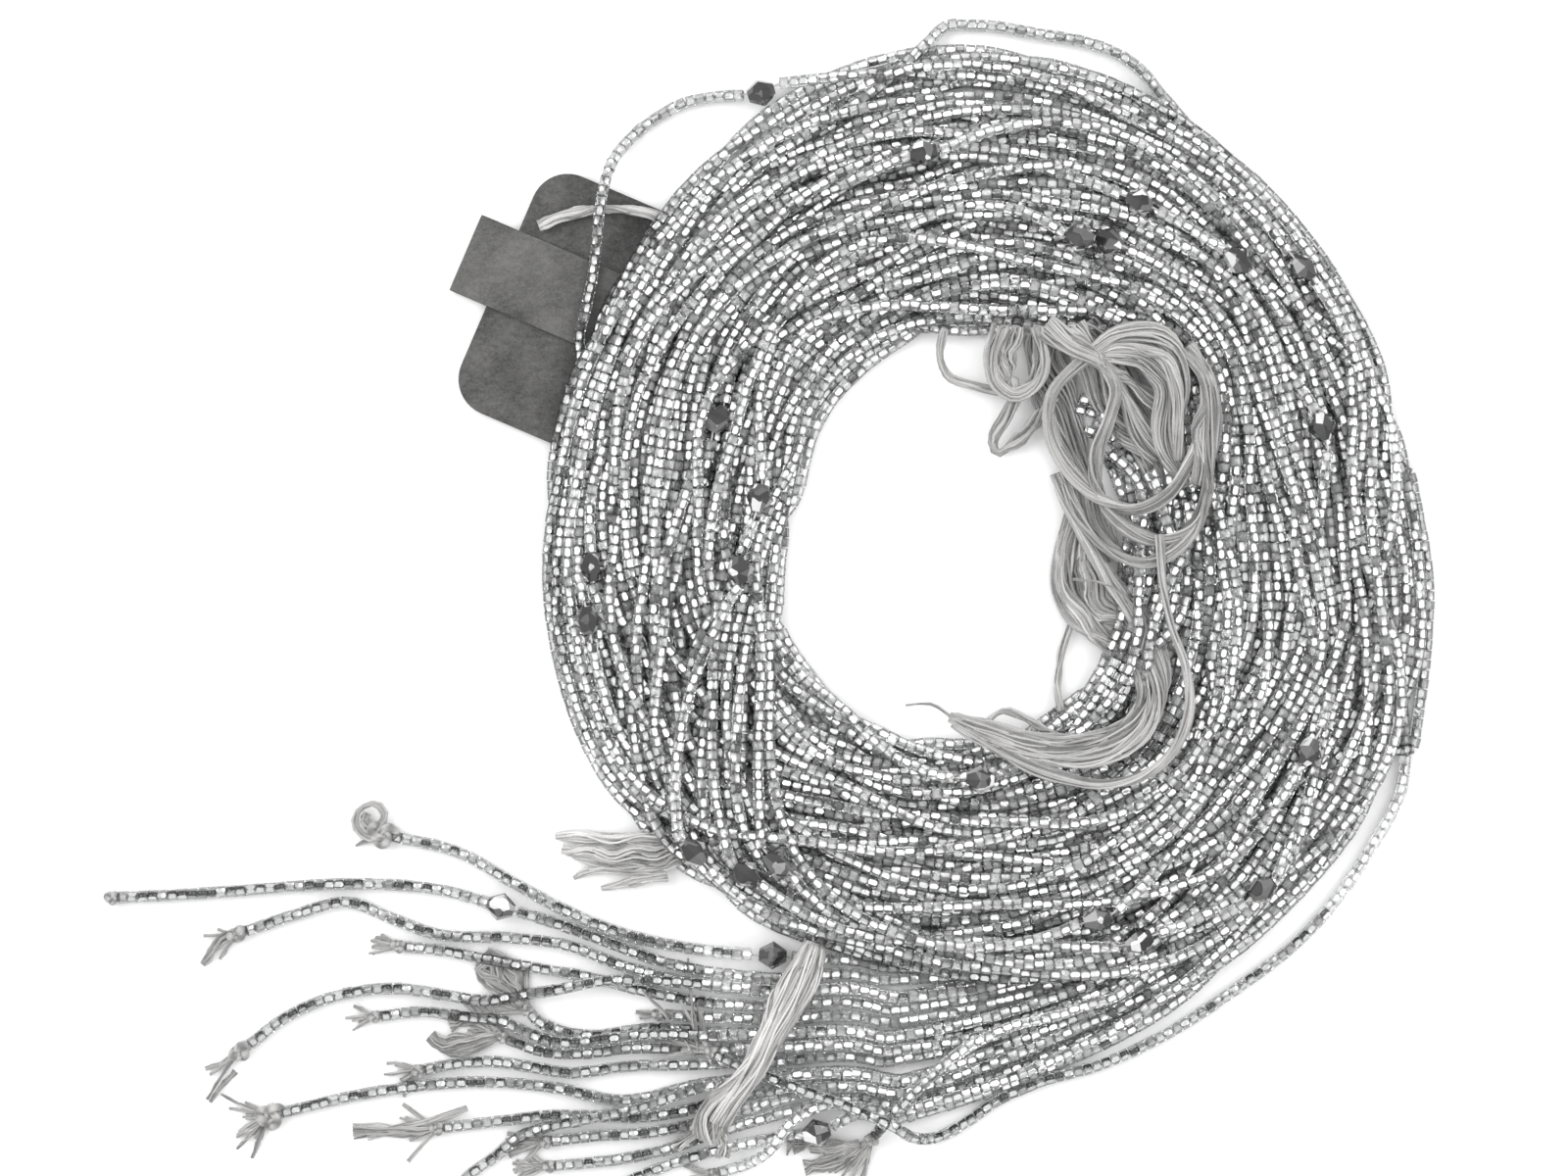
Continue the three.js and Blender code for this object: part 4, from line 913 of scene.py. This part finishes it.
fraySet += [
    ([(-106.4, -49.6, 1.4), (-109, -50.6, 1.8), (-111.4, -48.6, 1.2), (-110.6, -45.4, 1.4),
      (-107.6, -44.6, 1.6),
      (-106.2, -46.6, 1.4), (-107.8, -48.6, 1), (-110, -47.8, 0.8), (-109.4, -46.2, 0.6)], 5,
      (0.55, 0.6, 0.5), 0.28),
    ([(-133.6, -67.6, 1.2), (-135.2, -68.6, 1), (-136.4, -70, 0.8), (-137.6, -71.8, 0.5),
      (-138.4, -72.6, 0.3)], 6,
     (0.9, 1.1, 0.9, 0.4), 0.28),
    ([(-132.4, -91.4, 1), (-134.4, -93.4, 0.6), (-136, -95.4, 0.4), (-137, -96.8, 0.3)], 6,
     (0.5, 0.4, 0.15), 0.18),
    ([(-82.4, -80, 1), (-84.6, -77.6, 0.9), (-88, -75.6, 0.8), (-89.8, -73.4, 0.7), (-88.4, -71.6, 0.6),
      (-85.4, -72.2, 0.5), (-83.2, -74.8, 0.5), (-83.8, -77.4, 0.6)], 30, (0.8, 1.4, 1.7, 1.5, 0.9), 0.2),
    ([(-82.2, -79.4, 1), (-85, -76.2, 0.7), (-87.2, -73.2, 0.5), (-86.4, -71.8, 0.4)], 26,
     (0.8, 1.8, 1.7, 0.8), 0.2),
    ([(-86.4, -84.8, 1), (-89.6, -86, 0.8), (-93.4, -86.8, 0.6), (-96.8, -86.4, 0.5), (-98.4, -85, 0.3)], 34,
     (0.7, 1.6, 2.0, 1.4), 0.2),
    ([(-86, -83.2, 1), (-89.4, -82, 0.8), (-92.8, -82.4, 0.5), (-95.2, -83.2, 0.3)], 20, (0.6, 1.1, 1.3),
     0.18),
    ([(-97.6, -101.4, 1), (-103, -102, 0.8), (-108, -101.6, 0.6), (-112, -101.8, 0.3)], 18,
     (0.5, 1.0, 1.4), 0.18),
    ([(-92, -97.6, 1), (-98, -100, 0.6), (-103.6, -101.4, 0.5), (-109.6, -102.6, 0.3)], 12,
     (0.4, 0.8, 1.0), 0.18),
    ([(-52, -88.4, 3.2), (-55, -84.2, 2.9), (-58.4, -80, 2.6), (-61.4, -76.8, 2.4)], 3, (0.2, 0.35, 0.2),
     0.15),
    ([(-51.6, -87.6, 3.4), (-52.2, -82.6, 3), (-53, -77.2, 2.6), (-53.4, -71.6, 0.6)], 3, (0.2, 0.35, 0.2),
     0.15),
    ([(-23.4, -104, 1.4), (-27.4, -104.4, 1), (-31.6, -104.2, 0.6), (-36, -104, 0.3)], 22, (0.6, 1.4, 1.9),
     0.18),
    ([(-23.4, -104.2, 1.2), (-26, -106, 0.8), (-29.6, -107.6, 0.5), (-33, -108.4, 0.3)], 18,
     (0.6, 1.2, 1.6), 0.18),
]
points, groups = gather(*knotShapes)
makePiece("knots", row(points), [(np.concatenate([group[0] for group in groups]), knotCotton, True),
                                 (np.concatenate([group[1] for group in groups]), knotCotton, False)],
          shade=0.5 + 0.35 * np.sin(np.arange(len(points)) * 0.11))
threadPiece("thread_ends", fraySet, 800, knotCotton)
print("knots and thread ends made")


threadPiece("card_cord_plies", [
    ([(-79.4, 56.4, 2.5), (-74, 58.3, 2.5), (-67.2, 59.3, 2.5), (-60.4, 58.5, 2.5), (-57.6, 57.6, 2.5)], 26,
     (0.85, 0.95, 0.9, 0.95), 0.2)], 900, cordWhite, ["card_cord"])
for name, material in {"card": cardBoard, "paper_band": bandPaper}.items():
    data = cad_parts[name].data
    data.materials.clear()
    data.materials.append(material)


studio = {"floorHalf": 4.0, "floorLevel": -0.0004, "world": 1.25, "boxes": [
    ("softbox_left", (-0.7, 0.3, 0.7), (0.7, 0.7), 4.5), ("softbox_right", (0.7, 0.4, 0.6), (0.6, 0.6), 3.0)]}
floorMesh = bpy.data.meshes.new("floor")
floorMesh.from_pydata([(x * studio["floorHalf"], y * studio["floorHalf"], studio["floorLevel"])
                       for x, y in ((-1, -1), (1, -1), (1, 1), (-1, 1))], [], [(0, 1, 2, 3)])
floor = bpy.data.objects.new("floor", floorMesh)
bpy.context.scene.collection.objects.link(floor)
floorMesh.materials.append(plainFinish("floor paper", grey(0.9), Roughness=0.9))
bpy.context.scene.world = bpy.data.worlds.new("studio")
room = Recipe(bpy.context.scene.world)  # grey walls below a bright ceiling
height = room.add("ShaderNodeSeparateXYZ", {}, {0: room.add("ShaderNodeTexCoord", output=0)}, output=2)
walls = room.ramp(height, (0.0, grey(0.3)), (0.22, grey(0.45)), (0.5, grey(1.0)), (1.0, grey(1.15)))
room.feed(room.tree.nodes["Background"], {"Color": walls, "Strength": studio["world"]})


def softbox(name, spot, size, power):
    # An area light that faces the middle of the object.
    data = bpy.data.lights.new(name, "AREA")
    data.shape, data.size, data.size_y, data.energy = "RECTANGLE", size[0], size[1], power
    box = bpy.data.objects.new(name, data)
    bpy.context.scene.collection.objects.link(box)
    box.location = spot
    box.rotation_mode = "QUATERNION"
    box.rotation_quaternion = Vector(spot).to_track_quat("Z", "Y")


for name, spot, size, power in studio["boxes"]:
    softbox(name, spot, size, power)
bpy.context.scene.view_settings.view_transform = "Standard"
